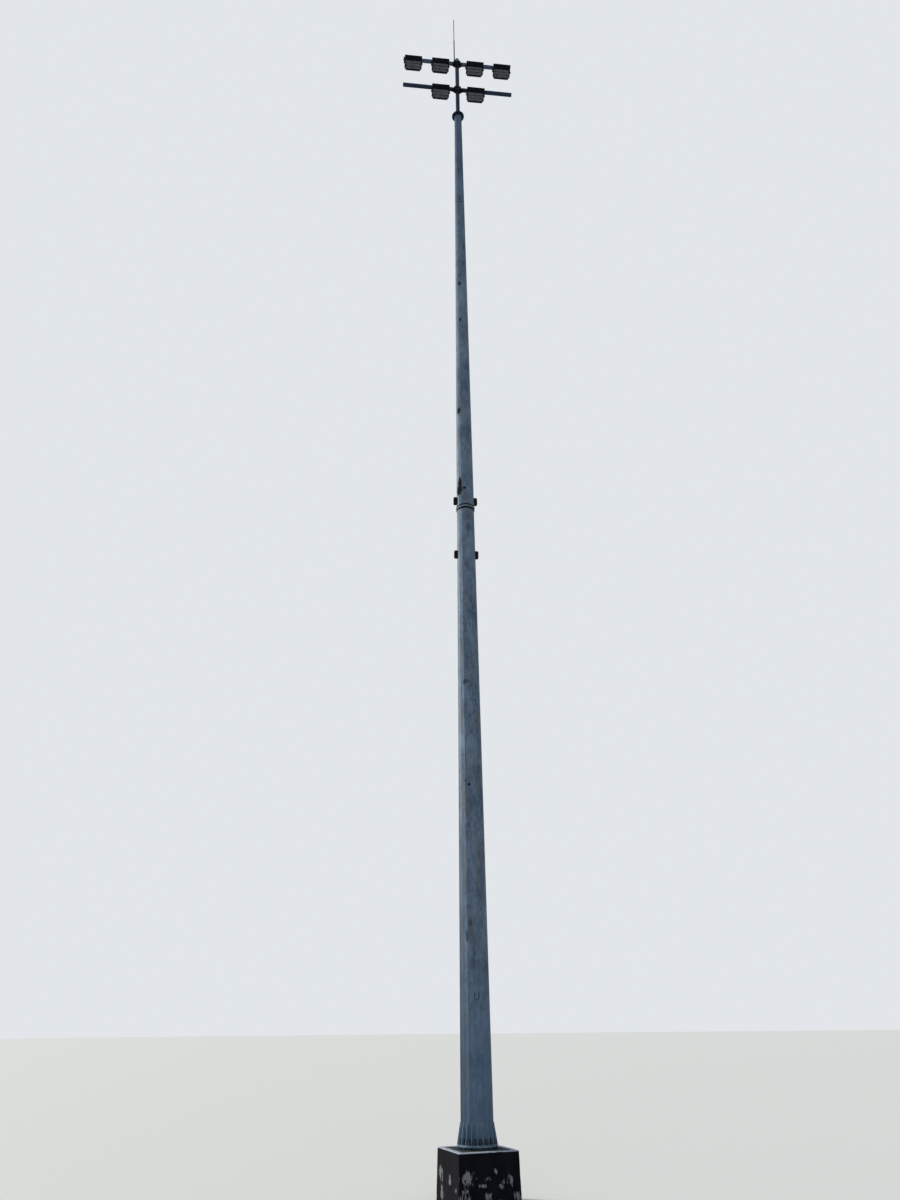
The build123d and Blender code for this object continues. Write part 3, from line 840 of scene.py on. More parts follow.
def finish_piece(made: bpy.types.Object, finish: Finish, body: str, *nodes: str) -> None:
    """Give a new piece its finish, its body and the CAD nodes that it stands for.

    Args:
        made: the piece.
        finish: its material.
        body: the CAD body that it moves with.
        nodes: the CAD nodes that it replaces.
    """
    bpy.context.scene.collection.objects.link(made)
    made.data.materials.append(finish.material())
    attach(made, body)
    if nodes:
        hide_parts(*nodes)
    log.info("%s: %d faces, on %s", made.name, len(made.data.polygons), body)


def add_piece(
    name: str, shape: Shape, finish: Finish, body: str = "mast", nodes: Sequence[str] = (), sharp: float = 40
) -> None:
    """Turn a shape into a piece of the scene, with its faces outward.

    Args:
        name: the piece's name.
        shape: its surface.
        finish: its material.
        body: the CAD body that it moves with.
        nodes: the CAD nodes that it replaces.
        sharp: edges that bend by more degrees than this stay sharp.
    """
    mesh = bpy.data.meshes.new(name)
    mesh.from_pydata(shape.points.tolist(), [], shape.quads.tolist() + shape.ends)
    work = bmesh.new()
    work.from_mesh(mesh)
    bmesh.ops.recalc_face_normals(work, faces=work.faces)
    work.to_mesh(mesh)
    work.free()
    mesh.shade_smooth()
    mesh.set_sharp_from_angle(angle=radians(sharp))
    finish_piece(bpy.data.objects.new(name, mesh), finish, body, *nodes)


def softened(
    node: str, name: str, finish: Finish, width: float, body: str = "mast", edges: Edges = Edges.CORNERS
) -> None:
    """A CAD solid with its flat faces whole again and its edges rounded.

    A bend is a long edge between two flats that meet at 15 to 30 degrees.

    Args:
        node: the CAD node that is copied and stands aside.
        name: the piece's name.
        finish: its material.
        width: how far the rounding reaches from each edge.
        body: the CAD body that it moves with.
        edges: which edges are rounded.
    """
    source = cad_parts[node].data
    mesh = bpy.data.meshes.new(name)
    corners = np.empty(len(source.vertices) * 3)
    source.vertices.foreach_get("co", corners)
    mesh.from_pydata(corners.reshape(-1, 3).tolist(), [], [list(face.vertices) for face in source.polygons])
    work = bmesh.new()
    work.from_mesh(mesh)
    bmesh.ops.remove_doubles(work, verts=work.verts, dist=2e-6)
    bmesh.ops.dissolve_limit(work, angle_limit=radians(0.6), verts=work.verts, edges=work.edges)
    bend = work.edges.layers.float.new("bevel_weight_edge")
    for edge in work.edges:
        turn = degrees(edge.calc_face_angle(0.0))
        edge[bend] = 1.0 if 15 < turn < 30 and edge.calc_length() > 0.3 else 0.0
    work.to_mesh(mesh)
    work.free()
    mesh.shade_smooth()
    if edges is Edges.BENDS:
        mesh.set_sharp_from_angle(angle=radians(30))
    made = bpy.data.objects.new(name, mesh)
    rounding = made.modifiers.new("rounding", "BEVEL")
    rounding.width = width
    rounding.segments = 2
    rounding.harden_normals = True
    rounding.miter_outer = "MITER_ARC"
    rounding.limit_method = "WEIGHT" if edges is Edges.BENDS else "ANGLE"
    rounding.angle_limit = radians(30)
    finish_piece(made, finish, body, node)


def centre(node: str) -> Point:
    """Middle of a CAD node's box."""
    return tuple((low + high) / 2 for low, high in zip(*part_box(node)))


def width_of(node: str) -> float:
    """Width of a CAD node's box along X."""
    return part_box(node)[1].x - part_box(node)[0].x


@dataclass
class TowerPart:
    """What all sub-assemblies share: the tower's main heights and widths, read from the CAD frame."""

    block_top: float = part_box("foundation_block")[1].z
    plate_bottom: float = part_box("base_plate")[0].z
    mast_foot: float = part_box("base_plate")[1].z
    rib_top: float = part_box("base_ribs")[1].z
    mouth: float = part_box("mast_upper_section")[0].z
    ring_top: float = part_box("slip_joint_ring")[1].z
    mast_top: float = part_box("mast_upper_section")[1].z
    post_foot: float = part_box("headframe_post")[0].z
    lower_arm: float = centre("lower_crossarm")[2]
    upper_arm: float = centre("upper_crossarm")[2]
    foot_width: float = width_of("mast_lower_section")
    mouth_width: float = width_of("mast_upper_section")
    taper: float = 0.0143

    def lower_half(self, level: Number) -> Number:
        """Half the width across the flats of the lower section."""
        return (self.foot_width - self.taper * (level - self.mast_foot)) / 2

    def upper_half(self, level: Number) -> Number:
        """Half the width across the flats of the upper section."""
        return (self.mouth_width - self.taper * (level - self.mouth)) / 2


@dataclass
class Foundation(TowerPart):
    """The painted concrete block and the grout on it.

    The chips are given by their place round the block, width, depth and height: each row holds
    the limits of the random ones, and then the values of the two big ones. The waves are given
    by their size, waves a side, waves up and start.
    """

    top_side: float = 0.82
    batter: float = radians(1.3)
    turn: float = radians(13.8)
    corner: float = 0.012
    edge: float = 0.007
    side_points: int = 180
    chip_count: int = 34
    chips: tuple = (
        (0.0, 4.0, 0.665, 0.625), (0.008, 0.045, 0.045, 0.020),
        (0.001, 0.006, 0.016, 0.012), (0.008, 0.020, 0.024, 0.016),
    )
    waves: tuple = ((5e-4, 3, 9, 0.3), (4e-4, 8, 17, 1.9), (3e-4, 19, 31, 4.0), (2e-4, 44, 52, 2.2))
    seed: int = 11
    patch_width: float = 1.3
    patch_rise: float = 1.25
    grout_radius: float = 0.214
    grout_spread: float = 0.012

    def turned(self, x: Number, y: Number) -> tuple[Number, Number]:
        """The place (x, y) at the block's bearing t: (x cos t - y sin t, x sin t + y cos t)."""
        return x * cos(self.turn) - y * sin(self.turn), x * sin(self.turn) + y * cos(self.turn)

    def patches(self) -> tuple[Mark, ...]:
        """Where the paint has worn off the two sides that the camera sees.

        Each place is given along its side, from 0 at the side's left end to 1, by its height
        and by how far it reaches sideways and up.

        Returns:
            The worn places as marks, of which only the masks are used.
        """
        half = self.top_side / 2
        worn = [
            ("left", 0.20, 0.35, 0.10, 0.15),
            ("left", 0.26, 0.14, 0.09, 0.14),
            ("left", 0.60, 0.30, 0.06, 0.08),
            ("left", 0.86, 0.21, 0.05, 0.06),
            ("front", 0.13, 0.34, 0.11, 0.13),
            ("front", 0.11, 0.14, 0.09, 0.20),
            ("front", 0.02, 0.12, 0.04, 0.10),
            ("front", 0.60, 0.41, 0.05, 0.045),
            ("front", 0.47, 0.33, 0.05, 0.05),
            ("front", 0.37, 0.26, 0.07, 0.035),
            ("front", 0.72, 0.30, 0.05, 0.05),
            ("front", 0.83, 0.31, 0.08, 0.09),
            ("front", 0.675, 0.24, 0.05, 0.045),
            ("front", 0.46, 0.14, 0.07, 0.08),
            ("front", 0.93, 0.10, 0.10, 0.11),
            ("front", 0.26, 0.05, 0.08, 0.06),
            ("front", 0.68, 0.06, 0.07, 0.06),
        ]
        made = []
        for side, along, height, width, rise in worn:
            run = (2 * along - 1) * half
            place = self.turned(run, -half) if side == "front" else self.turned(-half, -run)
            reach = (width * self.patch_width, width * self.patch_width, rise * self.patch_rise)
            made.append(Mark((*place, height), reach, TAR_AND_SHADE, 1.0, 0.3, 0.8))
        return tuple(made)

    def block(self) -> Shape:
        """The block's surface.

        Rings go from the middle of the underside out to its edge, up the side, over the top
        edge and in to the middle of the top. A ring is the square of half side
        a(z) = top / 2 + (top level - z) tan(batter), less the ring's inset, with round corners.
        Chips sink it by the sum of d_k exp(-((t - t_k) / w_k)^4) exp(-(s / h_k)^2), where t
        runs round the block from 0 to 4 and s is the distance from the top edge. Shallow waves
        size sin(pi / 2 m t + n z + p) are added up over its sides.

        Returns:
            The closed surface, turned to the block's bearing.
        """
        top, half = self.block_top, self.top_side / 2
        arc = np.linspace(0, pi / 2, 6)
        inner = np.geomspace(0.012, half - 0.004, 16)
        low_side = np.linspace(0.0, top - 0.09, 16)
        high_side = np.linspace(top - 0.085, top - self.edge, 28)
        bend_in, bend_up = self.edge * (1 - np.cos(arc)), top - self.edge * (1 - np.sin(arc))
        inset = np.concatenate([inner[::-1], np.zeros(44), bend_in, self.edge + inner * 0.98])
        level = np.concatenate([np.zeros(16), low_side, high_side, bend_up, np.full(16, top)])
        reach = half + (top - level) * tan(self.batter) - inset
        square = square_round(self.side_points, 0.65)
        flat = rounded_square(square, reach, reach, np.minimum(self.corner, reach * 0.5))
        around = np.arange(len(square)) / self.side_points
        from_edge = np.abs(top - level) + np.where(level >= top - 1e-6, inset, 0.0)
        rng = np.random.default_rng(self.seed)
        place, width, depth, tall = (
            np.append(rng.uniform(least, most, self.chip_count), big) for least, most, *big in self.chips
        )
        near = np.exp(-(((around[:, None] - place) / width) ** 4))
        low = np.exp(-((from_edge[:, None] / tall) ** 2))
        sink = (low[:, None, :] * near[None] * depth).sum(axis=-1)
        level, reach = level[:, None], reach[:, None]
        wave = sum(size * np.sin(pi / 2 * m * around + n * level + p) for size, m, n, p in self.waves)
        shrink = 1 - (sink * 0.8 + np.where(level > 0.01, wave, 0.0)) / np.maximum(reach, 0.05)
        x, y = self.turned(flat[..., 0] * shrink, flat[..., 1] * shrink)
        return skin(points(x, y, level - sink * 0.9 * (level > 0.3)))

    def grout(self) -> Shape:
        """The grout, spread a little at its foot.

        Its radius is R + 0.012 (1 - z / h)^2 plus waves 0.004 sin(7 a + 1) + 0.003 sin(19 a + 5 z / h)
        and 0.0015 sin(53 a), with a the angle and h the grout's height.

        Returns:
            The closed surface.
        """
        angle = turns(240)
        share = np.array([0.0, 0.0, 0.15, 0.35, 0.6, 0.85, 1.0, 1.0])[:, None]
        size = np.array([0.1, 1, 1, 1, 1, 1, 1, 0.1])[:, None]
        wave = 0.004 * np.sin(7 * angle + 1) + 0.003 * np.sin(19 * angle + 5 * share)
        radius = self.grout_radius + self.grout_spread * (1 - share) ** 2 + wave + 0.0015 * np.sin(53 * angle)
        level = self.block_top + share * (self.plate_bottom - self.block_top)
        return skin(polar(size * radius, angle, level))

    def build(self) -> None:
        """Make the block and the grout."""
        paint = PaintedConcrete(
            "black_paint_on_concrete", Slot.CONCRETE, self.block_top, self.top_side / 2, self.turn,
            self.patches(),
        )
        add_piece("foundation_concrete", self.block(), paint, nodes=["foundation_block"])
        add_piece("grout_bed", self.grout(), RawCement("dirty_grout", Slot.GROUT), nodes=["grout_pad"])


@dataclass
class BaseAssembly(TowerPart):
    """Base plate, ribs, their welds, and the holding-down bolts with their nuts."""

    count: int = 20
    circle: float = 0.242
    rib_turn: float = radians(-7)
    rib_half: float = 0.004
    rib_toe: float = 0.2625
    stud: float = 0.024
    stud_above: float = 0.070
    stud_sunk: float = 0.02
    pitch: float = 0.003
    nut_width: float = 0.036
    nut_height: float = 0.0205
    nut_gap: float = 0.0004
    washer_bore: float = 0.011
    washer_radius: float = 0.0205
    washer: float = 0.003
    leg: float = 0.006
    foot_leg: float = 0.008
    seed: int = 3

    def places(self, level: float, spin: Number = 0.0) -> Array:
        """Where the bolts stand, half way between the ribs."""
        return circle_places(self.circle, self.count, self.rib_turn + pi / self.count, level, spin)

    def nuts(self) -> Shape:
        """Two nuts on each stud above the plate, and one that levels the plate from below.

        Each nut is turned by its own seeded angle.

        Returns:
            All the nuts.
        """
        rng = np.random.default_rng(self.seed)
        first = self.mast_foot + self.washer
        below = self.plate_bottom - self.washer - self.nut_height
        levels = (first, first + self.nut_height + self.nut_gap, below)
        nut = hex_nut(self.nut_width, self.nut_height)
        return joined([nut.repeated(self.places(z, rng.uniform(0, pi / 3, self.count))) for z in levels])

    def washers(self) -> Shape:
        """A flat washer above and below the plate at each stud.

        Returns:
            All the washers.
        """
        ring = flat_washer(self.washer_bore, self.washer_radius, self.washer, 24)
        levels = (self.mast_foot, self.plate_bottom - self.washer)
        return joined([ring.repeated(self.places(level)) for level in levels])

    def rib_welds(self) -> Shape:
        """Fillets along both sides of each rib, on the plate and up the mast.

        On the plate the path is a straight run outwards, and on the mast it follows the flat
        up to the rib's top.

        Returns:
            The closed beads.
        """
        inner = self.lower_half(self.mast_foot) * 1.012
        run = np.linspace(inner, self.rib_toe - 0.002, 16)
        climb = np.linspace(self.mast_foot, self.rib_top - 0.002, 22)
        wall = self.lower_half(climb) * 1.008
        shapes = []
        for side in (-1.0, 1.0):
            flat = points(run, side * self.rib_half, self.mast_foot)
            upright = points(wall, side * self.rib_half, climb)
            shapes += [weld(path, side * Y, up, self.leg, False) for path, up in ((flat, Z), (upright, X))]
        return joined(shapes).repeated(circle_places(0.0, self.count, self.rib_turn, 0.0))

    def build(self) -> None:
        """Make the plate, ribs, welds, studs, nuts and washers."""
        zinc = WeatheredZinc(
            "weathered_zinc_at_foot", Slot.ZINC, pale=srgb(106, 126, 142), dark=srgb(54, 74, 94),
            warm=srgb(90, 102, 112),
        )
        softened("base_plate", "base_plate_rounded", zinc, 0.0018)
        softened("base_ribs", "base_ribs_rounded", zinc, 0.0012)
        foot = round_weld(self.lower_half(self.mast_foot), self.mast_foot, self.foot_leg, MAST_SIDES)
        add_piece("base_welds", joined([foot, self.rib_welds()]), zinc)
        stud = threaded_rod(
            self.stud, self.pitch, self.block_top - self.stud_sunk, self.mast_foot + self.stud_above
        )
        add_piece("anchor_studs", stud.repeated(self.places(0.0)), GREASED, nodes=["anchor_bolts"])
        add_piece("anchor_nuts", self.nuts(), GREASED, sharp=25)
        add_piece("anchor_washers", self.washers(), GREASED)


@dataclass
class Mast(TowerPart):
    """The two sections of the mast, with their seams and the access cover.

    The zones are broad marks on the mast: a bluer band round the foot, a painted shade that darkens
    the left side of the lower mast, and a darker, bluer band round the top. The spots are stains on
    its near side: the height of each, its distance to the right of the axis as the camera sees it,
    half its sizes, its colour, strength and raggedness, and its softness where that isn't the usual one.
    """

    seam_angle: float = pi / 2 + 2 * pi / MAST_SIDES
    seam_half: float = 0.0045
    seam_rise: float = 0.0012
    seam_steps: int = 120
    screw_inset: float = 0.035
    camera_right: Point = (0.991, -0.134, 0.0)
    camera_near: Point = (-0.134, -0.991, 0.0)
    zones: tuple[Mark, ...] = (
        Mark((0.0, 0.0, 0.6), (0.9, 0.9, 3.2), SLATE, 0.65, 0.3, 1.0),
        # Painted shade: darkens the lit left side of the lower mast.
        Mark((-0.24, 0.0, 0.6), (0.2, 0.5, 6.4), srgb(32, 44, 58), 0.85, 0.2, 1.0),
        Mark((0.0, 0.0, 20.6), (0.9, 0.9, 6.0), srgb(52, 68, 92), 0.5, 0.3, 1.0),
    )
    spots: tuple = (
        (10.78, -0.090, (0.034, 0.12, 0.13), TAR_AND_SHADE, 1.0, 1.4),
        (10.63, -0.100, (0.054, 0.14, 0.13), TAR_AND_SHADE, 1.0, 1.4),
        (10.65, -0.012, (0.038, 0.08, 0.028), TAR_AND_SHADE, 1.0, 0.7),
        (12.36, -0.088, (0.034, 0.10, 0.090), TAR_AND_SHADE, 0.9, 0.5),
        (14.54, -0.030, (0.026, 0.03, 0.050), TAR_AND_SHADE, 0.85, 0.6),
        (15.48, -0.034, (0.036, 0.04, 0.070), TAR_AND_SHADE, 0.85, 0.7),
        (15.70, -0.030, (0.060, 0.04, 0.018), DUSK, 0.7, 0.5),
        (17.88, -0.005, (0.020, 0.03, 0.030), TAR_AND_SHADE, 0.85, 0.4),
        (17.80, 0.010, (0.090, 0.06, 0.014), DUSK, 0.6, 0.5),
        (18.80, -0.008, (0.018, 0.03, 0.026), TAR_AND_SHADE, 0.8, 0.4),
        (9.86, 0.045, (0.050, 0.05, 0.10), DUSK, 0.45, 1.4),
        (10.08, 0.020, (0.12, 0.10, 0.16), DUSK, 0.3, 1.2, 0.7),
        (7.02, -0.045, (0.070, 0.05, 0.045), DUSK, 0.6, 1.0),
        (6.18, 0.030, (0.016, 0.03, 0.018), DUSK, 0.8, 0.4),
        (5.36, -0.022, (0.026, 0.04, 0.024), TAR_AND_SHADE, 1.0, 0.3),
        (3.38, -0.040, (0.030, 0.04, 0.060), DUSK, 0.6, 0.8),
        (3.20, -0.090, (0.024, 0.04, 0.090), DUSK, 0.6, 0.8),
        (2.44, 0.000, (0.012, 0.03, 0.055), DUSK, 0.7, 0.5),
        (2.44, 0.058, (0.012, 0.03, 0.055), DUSK, 0.7, 0.5),
        (2.39, 0.029, (0.034, 0.03, 0.012), DUSK, 0.6, 0.5),
    )

    def stain(self, height: float, lateral: float, *look: Value) -> Mark:
        """A stain on the mast's near side.

        The point is lateral * right + sqrt(radius ** 2 - lateral ** 2) * near, where right and
        near are the camera's right and the way from the mast to the camera.

        Args:
            height: level of the stain's middle.
            lateral: distance to the right of the axis, negative to the left.
            look: half sizes, colour, strength, raggedness and softness.

        Returns:
            The stain.
        """
        radius = self.upper_half(height) if height > self.mouth else self.lower_half(height)
        right, near = np.array(self.camera_right), np.array(self.camera_near)
        place = lateral * right + (radius**2 - lateral**2) ** 0.5 * near + height * Z
        return Mark(tuple(place.tolist()), *look)

    def seam(self, bottom: float, top: float, half_at: HalfAt) -> Shape:
        """A longitudinal weld down the back, halfway across a flat.

        Its section is a low arch, P = (reach(z) + rise * sin(pi v)) out + half (2 v - 1) side,
        closed by a flat back that is sunk into the wall.

        Args:
            bottom: its lower end.
            top: its upper end.
            half_at: the mast's half width at a level.

        Returns:
            The closed bead.
        """
        out, side = polar(1.0, self.seam_angle + np.array([0.0, pi / 2]), 0.0)
        level = np.linspace(bottom, top, self.seam_steps)[:, None]
        share = np.linspace(0, 1, 7)
        ripple = 1 + 0.12 * np.sin(np.arange(self.seam_steps) * 2.3)[:, None]
        arch = half_at(level) + self.seam_rise * ripple * np.sin(pi * share)
        radius = np.concatenate([arch, np.repeat(half_at(level) - 0.002, 2, axis=1)], axis=1)
        across = self.seam_half * np.append(2 * share - 1, [1.0, -1.0])
        return skin(radius[..., None] * out + across[:, None] * side + level[..., None] * Z)

    def cover_screws(self) -> Shape:
        """A screw at the top and at the bottom of the access cover.

        Returns:
            Both screws.
        """
        low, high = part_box("access_cover")
        profile = [(0.0072, -0.003), (0.0072, 0.0022), (0.006, 0.0036), (0.0034, 0.0036), (0.0034, 0.0012)]
        middle = (low.x + high.x) / 2
        levels = (low.z + self.screw_inset, high.z - self.screw_inset)
        places = [plane((middle, -self.lower_half(z), z), X, -Y) for z in levels]
        return revolved(profile, 12).repeated(places)

    def build(self) -> None:
        """Make both sections, the seams, the cover and its screws."""
        marks = self.zones + tuple(self.stain(*spot) for spot in self.spots)
        zinc = WeatheredZinc("weathered_zinc", Slot.ZINC, marks=marks)
        softened("mast_lower_section", "mast_lower_rounded", zinc, 0.007, edges=Edges.BENDS)
        softened("mast_upper_section", "mast_upper_rounded", zinc, 0.006, edges=Edges.BENDS)
        seams = [
            self.seam(self.mast_foot + 0.009, self.mouth - 0.004, self.lower_half),
            self.seam(self.ring_top + 0.006, self.mast_top - 0.006, self.upper_half),
        ]
        add_piece("mast_seams", joined(seams), zinc)
        softened("access_cover", "access_cover_rounded", zinc, 0.001)
        add_piece("access_cover_screws", self.cover_screws(), GREASED)


@dataclass
class SlipJoint(TowerPart):
    """The band at the sleeve's mouth, its sealant, whose bead under the mouth also stands for the mouth's
    shadow as painted shadow, and the jacking lugs.
    """

    seal: float = 0.0125
    seal_ripple: float = 0.02
    lug_height: float = 0.135
    lug_width: float = 0.056
    lug_corner: float = 0.004
    leg: float = 0.005

    def sealant_and_shadow_beads(self) -> Shape:
        """Black beads of sealant under the mouth of the sleeve and above the band; the one under the mouth
        also stands in for the mouth's shadow, a painted shadow.

        Returns:
            Both closed beads.
        """
        mouth, ring_top = self.mouth, self.ring_top
        # Painted shadow: this black bead under the mouth stands for the shadow that the sleeve casts.
        below = round_weld(self.lower_half(mouth), mouth, self.seal, MAST_SIDES, -2.0, self.seal_ripple)
        above = round_weld(self.upper_half(ring_top), ring_top, self.seal, MAST_SIDES, 1.7, self.seal_ripple)
        return joined([below, above])

    def lug_welds(self, node: str, half_at: HalfAt) -> Shape:
        """Fillets round the foot of each lug, on the flat that it stands on.

        The path is the lug's outline on the flat, a rectangle with round corners.

        Args:
            node: the CAD node of the lugs.
            half_at: the mast's half width at a level.

        Returns:
            The closed beads of both lugs.
        """
        half_width, half_height = self.lug_width / 2, self.lug_height / 2
        across, along = rounded_square(square_round(14), half_width, half_height, self.lug_corner).T
        level = centre(node)[2] + along
        away = points(0.0, across / half_width, along / half_height)
        away = away / np.linalg.norm(away, axis=-1, keepdims=True)
        feet = [(points(half_at(level) * side, across, level), side * X) for side in (-1.0, 1.0)]
        return joined([weld(path, away, up, self.leg) for path, up in feet])

    def build(self) -> None:
        """Make the band, the sealant with the painted shadow under the mouth, the lugs and their welds."""
        paint = BlackPaint("black_paint_on_lugs", Slot.BLACK_STEEL)
        band = WeatheredZinc("zinc_of_band", Slot.ZINC, dark=srgb(50, 62, 74), pale=srgb(106, 118, 128))
        softened("slip_joint_ring", "slip_joint_band", band, 0.0012)
        add_piece("slip_joint_sealant_and_shadow_bead", self.sealant_and_shadow_beads(), Sealant("joint_sealant", Slot.BLACK_STEEL))
        for name, half_at in (("lower", self.lower_half), ("upper", self.upper_half)):
            node = f"{name}_jacking_lugs"
            softened(node, f"{node}_rounded", paint, 0.0025)
            add_piece(f"{node}_welds", self.lug_welds(node, half_at), paint)


@dataclass
class Headframe(TowerPart):
    """Flanges, post, crossarms, their plates and the lightning rod."""

    tube: float = 0.0445
    bolt_circle: float = 0.107
    bolt_count: int = 8
    bolt: float = 0.016
    bolt_pitch: float = 0.002
    bolt_below: float = 0.006
    head_width: float = 0.024
    head_height: float = 0.010
    head_dish: float = 0.007
    nut_height: float = 0.013
    washer: float = 0.0025
    washer_bore: float = 0.008
    washer_radius: float = 0.0148
    leg: float = 0.006
    head_leg: float = 0.007
    end_leg: float = 0.0035
    rod_thick: float = 0.8

    def finish(self) -> WeatheredZinc:
        """Dull zinc darkened as painted shade, rusty at the lower crossing and paler along the upper arm,
        with a painted highlight on the post's top and painted shade under both crossings.

        Returns:
            The finish with its stains.
        """
        upper, lower = self.upper_arm, self.lower_arm
        marks = (
            Mark((0.0, 0.0, upper), (1.4, 0.2, 0.12), LIME, 0.65, 0.3, 0.2),
            # Painted highlight: a pale patch on the post's top above the upper crossing.
            Mark((0.0, 0.0, upper + 0.16), (0.15, 0.15, 0.10), srgb(112, 124, 138), 0.8, 0.6, 0.6),
            # Painted shade: dark patches under both crossings, below the arms and round the post.
            Mark((0.0, -0.05, upper - 0.08), (0.15, 0.22, 0.15), TAR_AND_SHADE, 1.0, 0.3, 0.4),
            Mark((0.0, -0.05, lower - 0.06), (0.17, 0.22, 0.16), TAR_AND_SHADE, 1.0, 0.3, 0.4),
            Mark((0.0, -0.05, lower), (0.10, 0.12, 0.07), RUST, 0.55, 1.0, 0.8),
        )
        # Zinc darkened as painted shade: the whole headframe is seen from below against the bright sky.
        return WeatheredZinc(
            "headframe_zinc_painted_shade", Slot.HEADFRAME, pale=srgb(36, 50, 72), dark=srgb(14, 24, 40),
            warm=srgb(40, 46, 58), marks=marks, shine=0.0,
        )

    def flange_fasteners(self) -> Shape:
        """Bolt heads on the headframe's flange, nuts and bolt ends under the mast's, and washers.

        Returns:
            All the fasteners of the flanges.
        """
        high, low = self.post_foot, self.mast_top - self.washer
        ring = flat_washer(self.washer_bore, self.washer_radius, self.washer, 20)
        nut_foot = low - self.nut_height
        rows = (
            (hex_nut(self.head_width, self.head_height, self.head_dish), high + self.washer),
            (hex_nut(self.head_width, self.nut_height), nut_foot),
            (ring, high),
            (ring, low),
            (threaded_rod(self.bolt, self.bolt_pitch, nut_foot - self.bolt_below, high), 0.0),
        )
        return joined([shape.repeated(self.places(level)) for shape, level in rows])

    def places(self, level: float) -> Array:
        """Where the flange bolts stand."""
        return circle_places(self.bolt_circle, self.bolt_count, 0.0, level)

    def arm_end_welds(self) -> Shape:
        """A bead round both ends of each arm, where the end plate is welded in.

        It is the round fillet turned onto its side, path = (x, r cos a, level + r sin a).

        Returns:
            The four closed beads.
        """
        arms = (("lower_crossarm", self.lower_arm), ("upper_crossarm", self.upper_arm))
        ends = [(corner.x, level, out) for node, level in arms for corner, out in zip(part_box(node), (X, -X))]
        places = [plane((x, 0.0, level), Y, out) for x, level, out in ends]
        return round_weld(self.tube - 0.002, 0.0, self.end_leg).repeated(places)

    def crossing_welds(self) -> Shape:
        """Fillets round the post at its foot and on each crossing's plates, and under the mast's flange.

        Returns:
            The closed beads.
        """
        upper_plate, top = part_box("saddle_plates")[1].z, self.mast_top
        lower_plate = upper_plate - (self.upper_arm - self.lower_arm)
        levels = (self.post_foot, lower_plate, upper_plate)
        head = round_weld(self.upper_half(top), top, self.head_leg, MAST_SIDES, -1)
        return joined([round_weld(self.tube, level, self.leg) for level in levels] + [head])

    def rod_collar(self) -> Shape:
        """A nut and a collar where the thin part of the rod is screwed into the thick one.

        Returns:
            The collar and the nut.
        """
        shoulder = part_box("lightning_rod")[0].z + self.rod_thick
        base = plane((centre("lightning_rod")[0], 0.0, shoulder), X, Z)
        collar = [(0.0075, 0.0), (0.0122, 0.0), (0.0105, 0.010), (0.0084, 0.016), (0.0075, 0.016)]
        nut = hex_nut(0.023, 0.012).repeated(places_on(base, [(0.0, 0.0, -0.014)]))
        return joined([revolved(collar, 24).repeated(base), nut])

    def clamp_bolts(self) -> Shape:
        """Two bolts through the rod's bracket, with a nut behind each.

        Returns:
            The heads and nuts.
        """
        low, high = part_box("rod_clamp")
        x, level = (low.x + high.x) / 2 + 0.0105, (low.z + high.z) / 2
        head = hex_nut(0.010, 0.0045, 0.003)
        sides = [plane((x, y, level), X, out) for y, out in ((low.y, -Y), (high.y, Y))]
        spots = [(0.0, -0.011, -0.0005), (0.0, 0.011, -0.0005)]
        return joined([head.repeated(places_on(side, spots)) for side in sides])

    def build(self) -> None:
        """Make the flanges, the frame of tube, its plates, the rod and all fasteners."""
        zinc = self.finish()
        black = BlackPaint("black_paint_on_plates", Slot.HEADFRAME)
        # Zinc darkened nearly to black as painted shade, for undersides seen from below. The saddle plates,
        # the lightning rod and its clamp take it too.
        flange = WeatheredZinc(
            "flange_zinc_painted_shade", Slot.HEADFRAME, pale=srgb(15, 22, 35), dark=srgb(5, 9, 18),
            warm=srgb(28, 28, 30), shine=0.0,
        )
        softened("mast_head_flange", "mast_head_flange_rounded", flange, 0.0014)
        softened("headframe_flange", "headframe_flange_rounded", flange, 0.0014)
        softened("headframe_post", "headframe_post_smooth", zinc, 0.0008)
        softened("post_cap", "post_cap_rounded", zinc, 0.0025)
        softened("lower_crossarm", "lower_crossarm_smooth", zinc, 0.0016)
        softened("upper_crossarm", "upper_crossarm_smooth", zinc, 0.0016)
        softened("crossarm_gussets", "crossarm_gussets_rounded", black, 0.001)
        softened("saddle_plates", "saddle_plates_rounded", flange, 0.0012)
        softened("lightning_rod", "lightning_rod_smooth", flange, 0.0008)
        softened("rod_clamp", "rod_clamp_rounded", flange, 0.0012)
        add_piece("flange_fasteners", self.flange_fasteners(), GREASED, nodes=["flange_bolts"], sharp=25)
        add_piece("headframe_welds", joined([self.crossing_welds(), self.arm_end_welds()]), zinc)
        add_piece("rod_fittings", joined([self.rod_collar(), self.clamp_bolts()]), GREASED, sharp=25)


